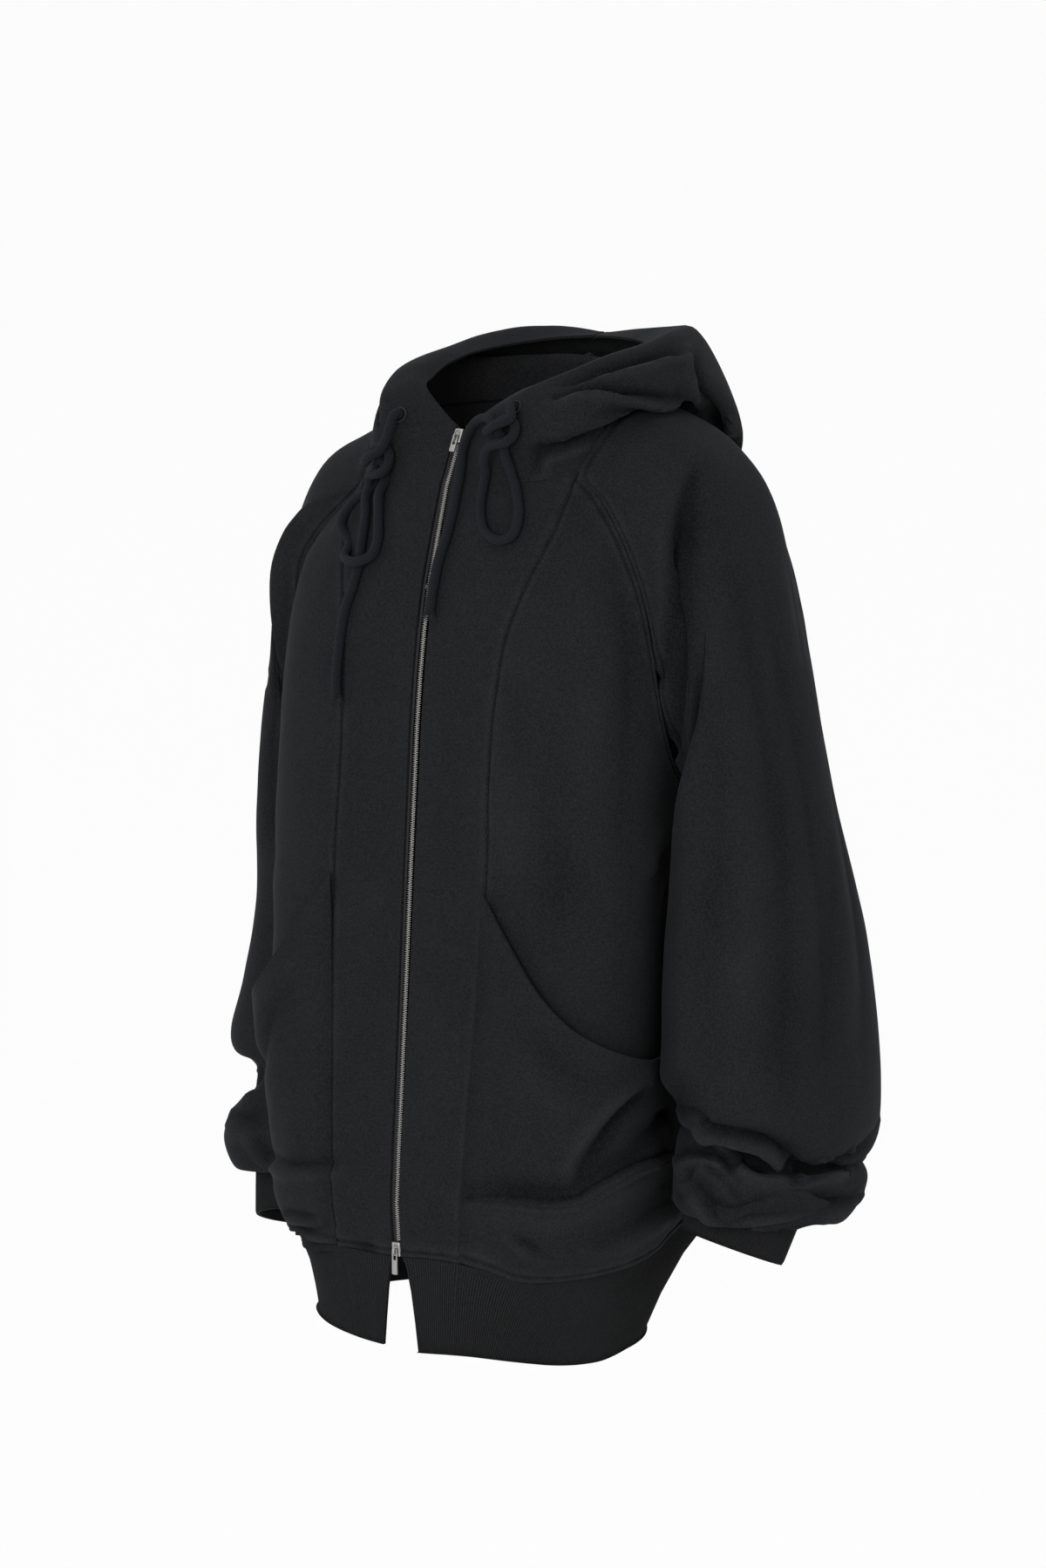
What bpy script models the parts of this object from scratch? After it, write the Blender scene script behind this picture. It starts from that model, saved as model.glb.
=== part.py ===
"""Zip up hoodie: hollow cloth walls, sewn panel by panel, with its zip and drawcords.

Metres, +Z up. The garment faces -Y and its own left side is +X. The origin is the point
at the base of the neck where the wearer's shoulders hold it up.
"""
import math
from functools import lru_cache

import bmesh
import bpy
from mathutils import Vector
from mathutils.bvhtree import BVHTree

# ---------------------------------------------------------------- driving dimensions
CLOTH = 0.0022            # heavy sweatshirt jersey
RIB_CLOTH = 0.0026        # doubled rib, at its valleys
RIB_RAISE = 0.0014        # how far each rib stands out
SEAM_GAP = 0.0003         # air left between two sewn pieces
SIDE_SEAM_Y = 0.03        # depth at which the side seams hang

FRONT_COLUMNS = 4         # grid columns in each centre front
SIDE_COLUMNS = 10         # in each side front
RAGLAN_COLUMNS = 10       # along each back raglan seam
NECK_COLUMNS = 3          # from there to the middle of the back
SHOULDER_COLUMNS = 6      # across the top of each sleeve
BODY_ROWS = 15
SLEEVE_AROUND = SIDE_COLUMNS + RAGLAN_COLUMNS + SHOULDER_COLUMNS

COLLECTION = "zip_up_hoodie"


class Table:
    """Rows of sizes under named columns, read smoothly between the rows."""

    def __init__(self, columns, rows):
        self.columns = columns.split()
        self.rows = sorted(rows)

    def at(self, key, column):
        """Value of a column where the first column has the given key."""
        place = self.columns.index(column)
        keys = [row[0] for row in self.rows]
        values = [row[place] for row in self.rows]
        return smooth(keys, values, key)


def smooth(keys, values, key):
    """Cubic through (keys, values), held level past both ends."""
    if key <= keys[0]:
        return values[0]
    if key >= keys[-1]:
        return values[-1]
    i = max(n for n in range(len(keys) - 1) if keys[n] <= key)
    span = keys[i + 1] - keys[i]
    t = (key - keys[i]) / span
    low = slope(keys, values, i) * span
    high = slope(keys, values, i + 1) * span
    rise = values[i + 1] - values[i]
    return (values[i] + low * t + (3 * rise - 2 * low - high) * t ** 2
            + (low + high - 2 * rise) * t ** 3)


def slope(keys, values, i):
    """Slope at one row, from the rows on both sides of it."""
    before = max(i - 1, 0)
    after = min(i + 1, len(keys) - 1)
    return (values[after] - values[before]) / (keys[after] - keys[before])


def mix(a, b, t):
    return a + (b - a) * t


# ---------------------------------------------------------------- shape of the body
# Level sections of the body: half its width, its depth in front of and behind the
# origin, how square its corners are, and how far an arm presses in each side.
TORSO = Table("height width front back square pinch", [
    (-0.730, 0.166, 0.155, 0.110, 2.6, 0.010),
    (-0.700, 0.184, 0.166, 0.122, 3.2, 0.024),
    (-0.660, 0.190, 0.166, 0.126, 3.4, 0.032),
    (-0.580, 0.191, 0.160, 0.128, 3.7, 0.045),
    (-0.500, 0.192, 0.154, 0.130, 3.8, 0.046),
    (-0.400, 0.193, 0.147, 0.131, 3.9, 0.040),
    (-0.335, 0.192, 0.142, 0.131, 3.9, 0.026),
    (-0.260, 0.190, 0.136, 0.130, 3.7, 0.010),
    (-0.180, 0.186, 0.124, 0.126, 3.3, 0.000),
    (-0.120, 0.172, 0.108, 0.118, 2.7, 0.000),
    (-0.080, 0.150, 0.096, 0.108, 2.3, 0.000),
    (-0.040, 0.125, 0.085, 0.098, 2.1, 0.000),
    (0.000, 0.105, 0.078, 0.088, 2.0, 0.000),
])
PINCH_SPREAD = 0.085      # reach of an arm's pressure along the side
OUTLINE_STEPS = 120

# Seams on that body, as girth (0 at the zip, 1 at the side seam, 2 at the back's middle)
# against height.
PRINCESS = Table("height girth", [
    (-0.711, 0.200), (-0.630, 0.205), (-0.390, 0.240), (-0.284, 0.243), (-0.190, 0.285),
    (-0.150, 0.350), (-0.121, 0.410), (-0.098, 0.465), (-0.075, 0.520),
])
NECKLINE_FRONT = [(0.022, -0.088), (0.30, -0.084), (0.520, -0.075)]
RAGLAN_FRONT = [(0.520, -0.075), (0.59, -0.100), (0.635, -0.137), (0.675, -0.181),
                (0.710, -0.233), (0.740, -0.270), (0.80, -0.304), (0.90, -0.327), (1.0, -0.335)]
RAGLAN_BACK = [(1.0, -0.335), (1.10, -0.325), (1.19, -0.290), (1.27, -0.230),
               (1.36, -0.160), (1.48, -0.095), (1.62, -0.036)]
NECKLINE_BACK = [(1.62, -0.036), (1.80, -0.020), (2.0, -0.014)]
# Where the rib is sewn on, girth against height: the hem hangs lower on one side.
RIB_SEAM_LEFT = Table("girth height", [
    (0.0, -0.711), (0.15, -0.708), (0.27, -0.7115), (0.36, -0.720), (0.48, -0.720),
    (0.72, -0.708), (0.86, -0.694), (1.0, -0.688), (1.5, -0.690), (2.0, -0.695),
])
RIB_SEAM_RIGHT = Table("girth height", [
    (0.0, -0.711), (0.30, -0.711), (0.62, -0.713), (0.80, -0.722), (1.0, -0.724),
    (1.5, -0.708), (2.0, -0.695),
])
# Shallow folds of the body: two ends (girth, height), depth, and half width.
BODY_FOLDS_LEFT = [
    (0.26, -0.668, 0.62, -0.672, 0.007, 0.016),
    (0.62, -0.672, 0.98, -0.640, 0.008, 0.016),
]
BODY_FOLDS_RIGHT = [
    (0.42, -0.650, 0.85, -0.625, 0.007, 0.015),
    (0.50, -0.690, 0.90, -0.672, 0.006, 0.012),
]


@lru_cache(maxsize=None)
def outline(height):
    """Left half of the level section at a height: its points and their girths."""
    width, front, back, square, pinch = (
        TORSO.at(height, name) for name in ("width", "front", "back", "square", "pinch"))
    points = []
    for i in range(OUTLINE_STEPS + 1):
        angle = math.pi * i / OUTLINE_STEPS
        reach = abs(math.cos(angle)) ** (2 / square)
        if angle < math.pi / 2:
            y = SIDE_SEAM_Y - (front + SIDE_SEAM_Y) * reach
        else:
            y = SIDE_SEAM_Y + (back - SIDE_SEAM_Y) * reach
        x = width * math.sin(angle) ** (2 / square) if 0 < i < OUTLINE_STEPS else 0.0
        x -= pinch * min(1, x / width * 1.6) * math.exp(-((y - SIDE_SEAM_Y) / PINCH_SPREAD) ** 2)
        points.append((max(x, 0.0), y))
    walked = [0.0]
    for a, b in zip(points, points[1:]):
        walked.append(walked[-1] + math.dist(a, b))
    middle = walked[OUTLINE_STEPS // 2]
    girths = [w / middle if w <= middle else 1 + (w - middle) / (walked[-1] - middle)
              for w in walked]
    return points, girths


def on_body(girth, height):
    """Point of the body's left half at a girth and a height."""
    points, girths = outline(round(height, 5))
    i = max(n for n in range(OUTLINE_STEPS) if girths[n] <= girth or n == 0)
    t = (girth - girths[i]) / (girths[i + 1] - girths[i])
    return Vector((mix(points[i][0], points[i + 1][0], t),
                   mix(points[i][1], points[i + 1][1], t), height))


def fold_depth(girth, height, folds):
    """How far the folds near a place press the cloth in."""
    depth = 0.0
    for g0, h0, g1, h1, deep, half_width in folds:
        scale = 0.33                          # metres in one unit of girth, about
        ax, ay = (girth - g0) * scale, height - h0
        bx, by = (g1 - g0) * scale, h1 - h0
        along = max(0.0, min(1.0, (ax * bx + ay * by) / (bx * bx + by * by)))
        away = math.hypot(ax - bx * along, ay - by * along)
        fade = math.sin(math.pi * (0.15 + 0.7 * along))
        depth += deep * fade * math.exp(-(away / half_width) ** 2)
    return depth


def along_line(line, count):
    """Points at even steps along a smooth line through the given ones."""
    dense = []
    keys = [0.0]
    for a, b in zip(line, line[1:]):
        keys.append(keys[-1] + math.dist(a, b))
    steps = 24 * (len(line) - 1)
    for i in range(steps + 1):
        key = keys[-1] * i / steps
        dense.append([smooth(keys, [p[axis] for p in line], key) for axis in range(len(line[0]))])
    walked = [0.0]
    for a, b in zip(dense, dense[1:]):
        walked.append(walked[-1] + math.dist(a, b))
    result = []
    for i in range(count + 1):
        goal = walked[-1] * i / count
        j = min(max(n for n in range(len(walked)) if walked[n] <= goal + 1e-12), steps - 1)
        t = (goal - walked[j]) / (walked[j + 1] - walked[j])
        result.append([mix(a, b, t) for a, b in zip(dense[j], dense[j + 1])])
    return result


def patch(bottom, top, left, right):
    """Grid (girth, height) between four lines that share their corners."""
    columns = len(bottom) - 1
    grid = []
    for j in range(BODY_ROWS + 1):
        v = j / BODY_ROWS
        row = []
        for i in range(columns + 1):
            u = i / columns
            cell = []
            for axis in range(2):
                sides = mix(left[j][axis], right[j][axis], u)
                ends = mix(bottom[i][axis], top[i][axis], v)
                corners = mix(mix(bottom[0][axis], bottom[-1][axis], u),
                              mix(top[0][axis], top[-1][axis], u), v)
                cell.append(sides + ends - corners)
            row.append(cell)
        grid.append(row)
    return grid


MOUTH_ROW = 7             # grid row that follows the pocket's mouth
MOUTH_ROW_AT_ZIP = -0.400
MOUTH_ROW_AT_BACK = -0.500
POCKET_MOUTH = Table("girth height", [
    (0.20, -0.400), (0.24, -0.4070), (0.31, -0.4400), (0.39, -0.4780), (0.47, -0.5080),
    (0.56, -0.5280), (0.65, -0.5390), (0.75, -0.5460), (0.85, -0.5480), (1.0, -0.5480),
])


def row_heights(low, middle, high):
    """Heights of the grid rows on one upright line."""
    heights = [mix(low, middle, j / MOUTH_ROW) for j in range(MOUTH_ROW)]
    above = BODY_ROWS - MOUTH_ROW
    return heights + [mix(middle, high, j / above) for j in range(above + 1)]


def body_grids(rib_seam, folds):
    """Centre front, side front and half back as left-hand points; the side's flat grid too."""
    def seam_line(g0, g1, count):
        girths = [mix(g0, g1, i / count) for i in range(count + 1)]
        return [[g, rib_seam.at(g, "height")] for g in girths]

    def upright(girth_of, low, middle, high):
        return [[girth_of(h), h] for h in row_heights(low, middle, high)]

    princess_foot = PRINCESS.at(-0.72, "girth")
    zip_girth = NECKLINE_FRONT[0][0] * 0.62
    low_zip = rib_seam.at(0.0, "height")
    low_princess = rib_seam.at(princess_foot, "height")
    low_side = rib_seam.at(1.0, "height")
    low_back = rib_seam.at(2.0, "height")

    def princess_girth(height):
        return PRINCESS.at(height, "girth")

    zip_line = upright(lambda h: mix(zip_girth, NECKLINE_FRONT[0][0], (h + 0.71) / 0.62),
                       low_zip, MOUTH_ROW_AT_ZIP, NECKLINE_FRONT[0][1])
    princess = upright(princess_girth, low_princess, POCKET_MOUTH.at(0.24, "height"),
                       RAGLAN_FRONT[0][1])
    princess[0][0] = princess_foot
    side = upright(lambda h: 1.0, low_side, POCKET_MOUTH.at(1.0, "height"), RAGLAN_FRONT[-1][1])
    middle = upright(lambda h: 2.0, low_back, MOUTH_ROW_AT_BACK, NECKLINE_BACK[-1][1])
    hem_front = seam_line(zip_line[0][0], princess_foot, FRONT_COLUMNS)
    hem_side = seam_line(princess_foot, 1.0, SIDE_COLUMNS)
    hem_back = seam_line(1.0, 2.0, RAGLAN_COLUMNS + NECK_COLUMNS)
    zip_line[0] = hem_front[0]
    princess[0] = hem_front[-1]
    back_top = (along_line(RAGLAN_BACK, RAGLAN_COLUMNS)
                + along_line(NECKLINE_BACK, NECK_COLUMNS)[1:])
    flats = [
        patch(hem_front, along_line(NECKLINE_FRONT, FRONT_COLUMNS), zip_line, princess),
        patch(hem_side, along_line(RAGLAN_FRONT, SIDE_COLUMNS), princess, side),
        patch(hem_back, back_top, side, middle),
    ]
    side_flat = flats[1]
    for i in range(1, SIDE_COLUMNS):
        girth, height = side_flat[MOUTH_ROW][i]
        lift = POCKET_MOUTH.at(girth, "height") - height
        for j, row in enumerate(side_flat):
            row[i][1] += lift * min(j / MOUTH_ROW, (BODY_ROWS - j) / (BODY_ROWS - MOUTH_ROW))
    grids = []
    for flat in flats:
        grid = []
        for row in flat:
            line = []
            for girth, height in row:
                point = on_body(min(max(girth, 0.0), 2.0), height)
                inward = Vector((point.x, point.y, 0)).normalized()
                line.append(point - inward * fold_depth(girth, height, folds))
            grid.append(line)
        grids.append(grid)
    return side_flat, grids


# ---------------------------------------------------------------- shape of the sleeves
# Sections of the left sleeve, from the raglan seam to the roll over the cuff. Each is a
# rounded ring through an outer and an inner point, between a front and a back depth.
# rise is how much higher its front hangs than its back, for each metre of depth.
SLEEVE_COLUMNS = "ring outer_x outer_z inner_x inner_z front back square rise"
SLEEVE_LEFT = [
    (0, 0.118, -0.030, 0.168, -0.340, -0.078, 0.088, 2.2, 0.00),
    (1, 0.156, -0.041, 0.179, -0.341, -0.078, 0.094, 2.3, 0.00),
    (2, 0.193, -0.062, 0.184, -0.345, -0.072, 0.100, 2.4, 0.00),
    (3, 0.219, -0.100, 0.185, -0.349, -0.056, 0.104, 2.4, 0.00),
    (4, 0.233, -0.160, 0.184, -0.354, -0.057, 0.104, 2.5, 0.00),
    (5, 0.243, -0.228, 0.181, -0.361, -0.062, 0.104, 2.5, 0.00),
    (6, 0.254, -0.290, 0.176, -0.371, -0.062, 0.108, 2.4, 0.00),
    (7, 0.266, -0.350, 0.170, -0.388, -0.062, 0.116, 2.3, 0.00),
    (8, 0.278, -0.410, 0.163, -0.418, -0.064, 0.128, 2.2, 0.00),
    (9, 0.288, -0.470, 0.158, -0.462, -0.068, 0.140, 2.2, 0.00),
    (10, 0.294, -0.530, 0.156, -0.515, -0.071, 0.148, 2.2, 0.04),
    (11, 0.296, -0.580, 0.156, -0.558, -0.073, 0.152, 2.2, 0.12),
    (12, 0.294, -0.608, 0.158, -0.580, -0.070, 0.150, 2.2, 0.18),
    (13, 0.286, -0.630, 0.165, -0.597, -0.062, 0.142, 2.2, 0.18),
    (14, 0.276, -0.635, 0.172, -0.603, -0.052, 0.128, 2.2, 0.16),
    (15, 0.281, -0.642, 0.169, -0.612, -0.058, 0.132, 2.2, 0.10),
    (16, 0.290, -0.659, 0.166, -0.636, -0.063, 0.136, 2.2, 0.03),
    (17, 0.286, -0.677, 0.170, -0.658, -0.061, 0.120, 2.2, 0.00),
]
SLEEVE_RIGHT = [
    (0, 0.118, -0.030, 0.168, -0.340, -0.078, 0.088, 2.2, 0.00),
    (1, 0.152, -0.041, 0.179, -0.341, -0.078, 0.094, 2.3, 0.00),
    (2, 0.186, -0.064, 0.184, -0.345, -0.072, 0.098, 2.4, 0.00),
    (3, 0.208, -0.104, 0.185, -0.349, -0.058, 0.100, 2.4, 0.00),
    (4, 0.222, -0.162, 0.184, -0.354, -0.056, 0.102, 2.5, 0.00),
    (5, 0.234, -0.228, 0.181, -0.361, -0.055, 0.106, 2.4, 0.00),
    (6, 0.248, -0.290, 0.176, -0.371, -0.052, 0.110, 2.3, 0.00),
    (7, 0.259, -0.350, 0.170, -0.388, -0.051, 0.118, 2.2, 0.00),
    (8, 0.267, -0.410, 0.163, -0.418, -0.050, 0.128, 2.1, 0.00),
    (9, 0.271, -0.470, 0.159, -0.462, -0.050, 0.138, 2.1, 0.00),
    (10, 0.282, -0.535, 0.157, -0.520, -0.056, 0.146, 2.2, 0.00),
    (11, 0.293, -0.580, 0.157, -0.562, -0.062, 0.150, 2.2, 0.02),
    (12, 0.290, -0.600, 0.159, -0.582, -0.060, 0.148, 2.2, 0.03),
    (13, 0.276, -0.609, 0.166, -0.590, -0.048, 0.138, 2.2, 0.04),
    (14, 0.268, -0.622, 0.172, -0.602, -0.042, 0.126, 2.2, 0.04),
    (15, 0.282, -0.640, 0.168, -0.622, -0.054, 0.134, 2.2, 0.03),
    (16, 0.300, -0.670, 0.164, -0.654, -0.064, 0.136, 2.2, 0.02),
    (17, 0.285, -0.696, 0.168, -0.686, -0.058, 0.114, 2.2, 0.00),
]
SLEEVES = {"left": SLEEVE_LEFT, "right": SLEEVE_RIGHT}
SLEEVE_RINGS = 18         # rings 0 to 17, then one tucked in beside the cuff and its seam
TUCK_OUT = 0.0065         # how far the tucked ring stands off the cuff
# Where each cuff's axis starts at its seam and ends at its foot.
CUFF_AXES = {
    "left": (Vector((0.2325, 0.010, -0.645)), Vector((0.2221, -0.010, -0.7007))),
    "right": (Vector((0.2245, 0.010, -0.680)), Vector((0.2141, -0.010, -0.7357))),
}
CUFF_TOP_RADIUS = 0.0462
CUFF_FOOT_RADIUS = 0.0430
BLEND_RINGS = 6           # rings over which the raglan's own line fades out


def ring_point(sleeve, ring, around):
    """Point of a sleeve section; around is 0 on top, then 0.25 in front, 0.5 inside."""
    outer_x, outer_z, inner_x, inner_z, front, back, square, rise = (
        sleeve.at(ring, name) for name in SLEEVE_COLUMNS.split()[1:])
    angle = 2 * math.pi * around
    across = math.copysign(abs(math.cos(angle)) ** (2 / square), math.cos(angle))
    depth = -math.copysign(abs(math.sin(angle)) ** (2 / square), math.sin(angle))
    y = (front + back) / 2 + depth * (back - front) / 2
    return Vector((mix(inner_x, outer_x, (across + 1) / 2), y,
                   mix(inner_z, outer_z, (across + 1) / 2) - rise * (y - (front + back) / 2)))


def cuff_point(side_name, drop, around, out=0.0):
    """Point of a cuff; drop is 0 at its seam and 1 at its foot."""
    top, foot = CUFF_AXES[side_name]
    axis = (foot - top).normalized()
    side = Vector((1, 0, 0)) - axis * axis.x
    side.normalize()
    forward = axis.cross(side)
    forward = forward if forward.y < 0 else -forward
    centre = top.lerp(foot, drop)
    radius = mix(CUFF_TOP_RADIUS, CUFF_FOOT_RADIUS, drop) + out
    angle = 2 * math.pi * around
    return centre + side * (radius * math.cos(angle)) + forward * (radius * math.sin(angle))


def sleeve_grid(raglan_ring, side_name):
    """Rings of points from the raglan seam to the cuff's seam."""
    sleeve = Table(SLEEVE_COLUMNS, SLEEVES[side_name])
    grid = []
    for ring in range(SLEEVE_RINGS):
        keep = max(0.0, 1 - ring / BLEND_RINGS)
        keep = keep * keep * (3 - 2 * keep)
        line = []
        for i in range(SLEEVE_AROUND):
            around = i / SLEEVE_AROUND
            point = ring_point(sleeve, ring, around)
            start = raglan_ring[i] - ring_point(sleeve, 0, around)
            line.append(point + start * keep)
        grid.append(line)
    for out in (TUCK_OUT, 0.0):
        grid.append([cuff_point(side_name, 0.0, i / SLEEVE_AROUND, out)
                     for i in range(SLEEVE_AROUND)])
    return grid


# ---------------------------------------------------------------- shape of the hood
# The hood is down. Lines that run along it from the zip (place 0) to the middle of the
# back (place 1), in order from the neck seam to the mouth.
HOOD_LINES = [
    Table("place x y z", [          # stands up from the neck seam
        (0.00, 0.0046, -0.0938, -0.079), (0.17, 0.0610, -0.0890, -0.066),
        (0.31, 0.1020, -0.0720, -0.050), (0.46, 0.1160, -0.0300, -0.020),
        (0.58, 0.1150, 0.0120, -0.010), (0.70, 0.1040, 0.0520, -0.010),
        (0.80, 0.0720, 0.0860, -0.012), (1.00, 0.0000, 0.1000, -0.008),
    ]),
    Table("place x y z", [          # underside of the fold on the shoulder
        (0.00, 0.0046, -0.0892, -0.069), (0.17, 0.0640, -0.0905, -0.050),
        (0.31, 0.1060, -0.0790, -0.047), (0.46, 0.1310, -0.0320, -0.031),
        (0.58, 0.1420, 0.0180, -0.028), (0.70, 0.1410, 0.0800, -0.034),
        (0.75, 0.1300, 0.1240, -0.072), (0.80, 0.1080, 0.1400, -0.110),
        (1.00, 0.0000, 0.1620, -0.165),
    ]),
    Table("place x y z", [          # outermost line of that fold
        (0.00, 0.0046, -0.0855, -0.061), (0.17, 0.0640, -0.0860, -0.034),
        (0.31, 0.1080, -0.0730, -0.024), (0.46, 0.1350, -0.0290, -0.010),
        (0.58, 0.1460, 0.0220, -0.006), (0.70, 0.1450, 0.0800, -0.014),
        (0.80, 0.1150, 0.1400, -0.052), (1.00, 0.0000, 0.1800, -0.090),
    ]),
    Table("place x y z", [          # top of the roll
        (0.00, 0.0046, -0.0800, -0.050), (0.17, 0.0590, -0.0720, -0.014),
        (0.31, 0.0880, -0.0460, 0.003), (0.46, 0.1060, -0.0140, 0.015),
        (0.58, 0.1130, 0.0300, 0.021), (0.70, 0.1080, 0.0800, 0.027),
        (0.80, 0.0860, 0.1180, 0.021), (1.00, 0.0000, 0.1300, 0.004),
    ]),
    Table("place x y z", [          # mouth of the hood
        (0.00, 0.0046, -0.0765, -0.043), (0.17, 0.0520, -0.0620, -0.012),
        (0.31, 0.0720, -0.0410, -0.004), (0.46, 0.0840, -0.0130, 0.005),
        (0.58, 0.0860, 0.0250, 0.011), (0.70, 0.0780, 0.0600, 0.012),
        (0.80, 0.0620, 0.0850, 0.012), (1.00, 0.0000, 0.1010, 0.012),
    ]),
]
# The right half is pushed in to the neck, and its lower lines ride up.
HOOD_WIDTHS = {"left": 1.0, "right": 0.74}
HOOD_LIFTS = {"left": 0.0, "right": 0.020}
LIFTED_LINES = 3                             # the first so many of the hood's lines ride up
HOOD_LINE_ROWS = [0, 1, 4, 7, 11, 14]        # grid rows of the neck seam and of each line
SHOULDER_LINE = [(0.113, -0.030, -0.036), (0.110, 0.012, -0.026), (0.098, 0.048, -0.027)]
# The right shoulder hangs lower than the left one.
SHOULDER_DROP = 0.030
DROP_CENTRE = -0.150
DROP_SPREAD = 0.085
DROP_FROM = -0.190        # height where the drop begins
DROP_FULL = -0.060        # height from where it is whole


def hood_grid(neck_seam, side_name):
    """Rows of points from the neck seam, over the roll, to the hood's mouth."""
    width = HOOD_WIDTHS[side_name]
    lengths = [0.0]
    for a, b in zip(neck_seam, neck_seam[1:]):
        lengths.append(lengths[-1] + (b - a).length)
    rows = [[] for _ in range(HOOD_LINE_ROWS[-1] + 1)]
    for point, length in zip(neck_seam, lengths):
        place = length / lengths[-1]
        line = [tuple(point)]
        for n, table in enumerate(HOOD_LINES):
            x, y, z = (table.at(place, axis) for axis in "xyz")
            if n < LIFTED_LINES:
                z += HOOD_LIFTS[side_name] * math.sin(math.pi * place)
            held = 0.4 if n == 0 else 1.0
            line.append((x * mix(1, width, min(1, place / 0.35) * held), y, z))
        for j, row in enumerate(rows):
            row.append(Vector([smooth(HOOD_LINE_ROWS, [p[axis] for p in line], j)
                               for axis in range(3)]))
    return rows


def settle(point):
    """A point of the even garment, moved to where the worn one hangs."""
    beside = math.exp(-((point.x - DROP_CENTRE) / DROP_SPREAD) ** 2)
    t = max(0.0, min(1.0, (point.z - DROP_FROM) / (DROP_FULL - DROP_FROM)))
    return Vector((point.x, point.y, point.z - SHOULDER_DROP * beside * t * t * (3 - 2 * t)))


def mirrored(grid):
    return [[Vector((-p.x, p.y, p.z)) for p in reversed(row)] for row in grid]


# ---------------------------------------------------------------- cloth walls
def key_of(point):
    return tuple(round(c, 6) for c in point)


class Cloth:
    """All cloth pieces on one joined surface, so that sewn edges share their normals."""

    def __init__(self):
        self.grids = {}
        self.rings = set()
        self.normals = {}

    def add(self, name, grid, ring=False):
        """Keep a piece as rows of outer points; a ring's rows close on themselves."""
        self.grids[name] = [[settle(p) for p in row] for row in grid]
        if ring:
            self.rings.add(name)

    def faces(self, name):
        grid = self.grids[name]
        count = len(grid[0])
        for j in range(len(grid) - 1):
            for i in range(count if name in self.rings else count - 1):
                k = (i + 1) % count
                yield grid[j][i], grid[j][k], grid[j + 1][k], grid[j + 1][i]

    def find_normals(self):
        """Sum the face normals round each point, over every piece that meets there."""
        sums = {}
        for name in self.grids:
            for face in self.faces(name):
                for n, corner in enumerate(face):
                    before, after = face[n - 1], face[(n + 1) % 4]
                    normal = (after - corner).cross(before - corner)
                    if normal.length > 0:
                        key = key_of(corner)
                        sums[key] = sums.get(key, Vector()) + normal.normalized()
        self.normals = {key: total.normalized() for key, total in sums.items()}


def inset(points, i, j, ring):
    """A point of a grid, drawn back from the edges that it lies on."""
    rows, count = len(points), len(points[0])
    here = points[j][i]
    left = points[j][(i - 1) % count] if ring or i > 0 else None
    right = points[j][(i + 1) % count] if ring or i < count - 1 else None
    below = points[j - 1][i] if j > 0 else None
    above = points[j + 1][i] if j < rows - 1 else None
    inward = []
    for first, second, along_a, along_b in (
            (below, above, left, right), (left, right, below, above)):
        if first is not None and second is not None:
            continue
        inner = second if first is None else first
        tangent = (along_b or here) - (along_a or here)
        tangent.normalize()
        step = inner - here
        step -= tangent * step.dot(tangent)
        inward.append(step.normalized())
    if not inward:
        return here
    if len(inward) == 1:
        return here + inward[0] * (SEAM_GAP / 2)
    spread = max(0.35, 1 + inward[0].dot(inward[1]))
    return here + (inward[0] + inward[1]) * (SEAM_GAP / 2 / spread)


def rim(bm, outs, backs):
    """Faces between a run of outer edge points and the two inner points behind its ends.

    Two sewn pieces cut their rims along the same diagonal, so that the rims stay apart.
    """
    def rank(vert):
        return vert.co.x + 0.37 * vert.co.y + 0.71 * vert.co.z

    first, last = backs
    if rank(outs[0]) < rank(outs[-1]):
        bm.faces.new((outs[0], last, first))
        hub = last
    else:
        bm.faces.new((outs[-1], last, first))
        hub = first
    for a, b in zip(outs, outs[1:]):
        bm.faces.new((a, b, hub))


def wall_mesh(name, outer, inner, ring, steps=1):
    """Closed mesh between an outer and an inner grid of points.

    The inner grid has one column for each so many steps of the outer one.
    """
    mesh = bpy.data.meshes.new(name)
    bm = bmesh.new()
    out, back = ([[bm.verts.new(p) for p in row] for row in grid] for grid in (outer, inner))
    for verts in (out, back):
        count = len(verts[0])
        for low, high in zip(verts, verts[1:]):
            for i in range(count if ring else count - 1):
                k = (i + 1) % count
                face = (low[i], low[k], high[k], high[i])
                if verts is back:
                    face = (low[i], high[i], high[k], low[k])
                bm.faces.new(face)
    count = len(out[0])
    for i in range(len(back[0]) if ring else len(back[0]) - 1):
        k = (i + 1) % len(back[0])
        runs = [[out[row][(i * steps + n) % count] for n in range(steps + 1)] for row in (0, -1)]
        rim(bm, runs[0][::-1], (back[0][k], back[0][i]))
        rim(bm, runs[1], (back[-1][i], back[-1][k]))
    if not ring:
        for j in range(len(out) - 1):
            rim(bm, (out[j][0], out[j + 1][0]), (back[j][0], back[j + 1][0]))
            rim(bm, (out[j + 1][-1], out[j][-1]), (back[j + 1][-1], back[j][-1]))
    bmesh.ops.recalc_face_normals(bm, faces=bm.faces)
    bm.to_mesh(mesh)
    bm.free()
    mesh.shade_smooth()
    return mesh


def add_object(name, mesh, material):
    """New object in the garment's collection."""
    item = bpy.data.objects.new(name, mesh)
    bpy.data.collections[COLLECTION].objects.link(item)
    item.data.materials.append(material)
    return item


def sewn_piece(cloth, name, material, thickness=CLOTH):
    """Wall of one piece, its edges drawn back from the seams."""
    ring = name in cloth.rings
    grid = cloth.grids[name]
    outer, inner = [], []
    for j, row in enumerate(grid):
        places = [inset(grid, i, j, ring) for i in range(len(row))]
        outer.append(places)
        inner.append([p - cloth.normals[key_of(q)] * thickness for p, q in zip(places, row)])
    return add_object(name, wall_mesh(name, outer, inner, ring), material)


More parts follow.
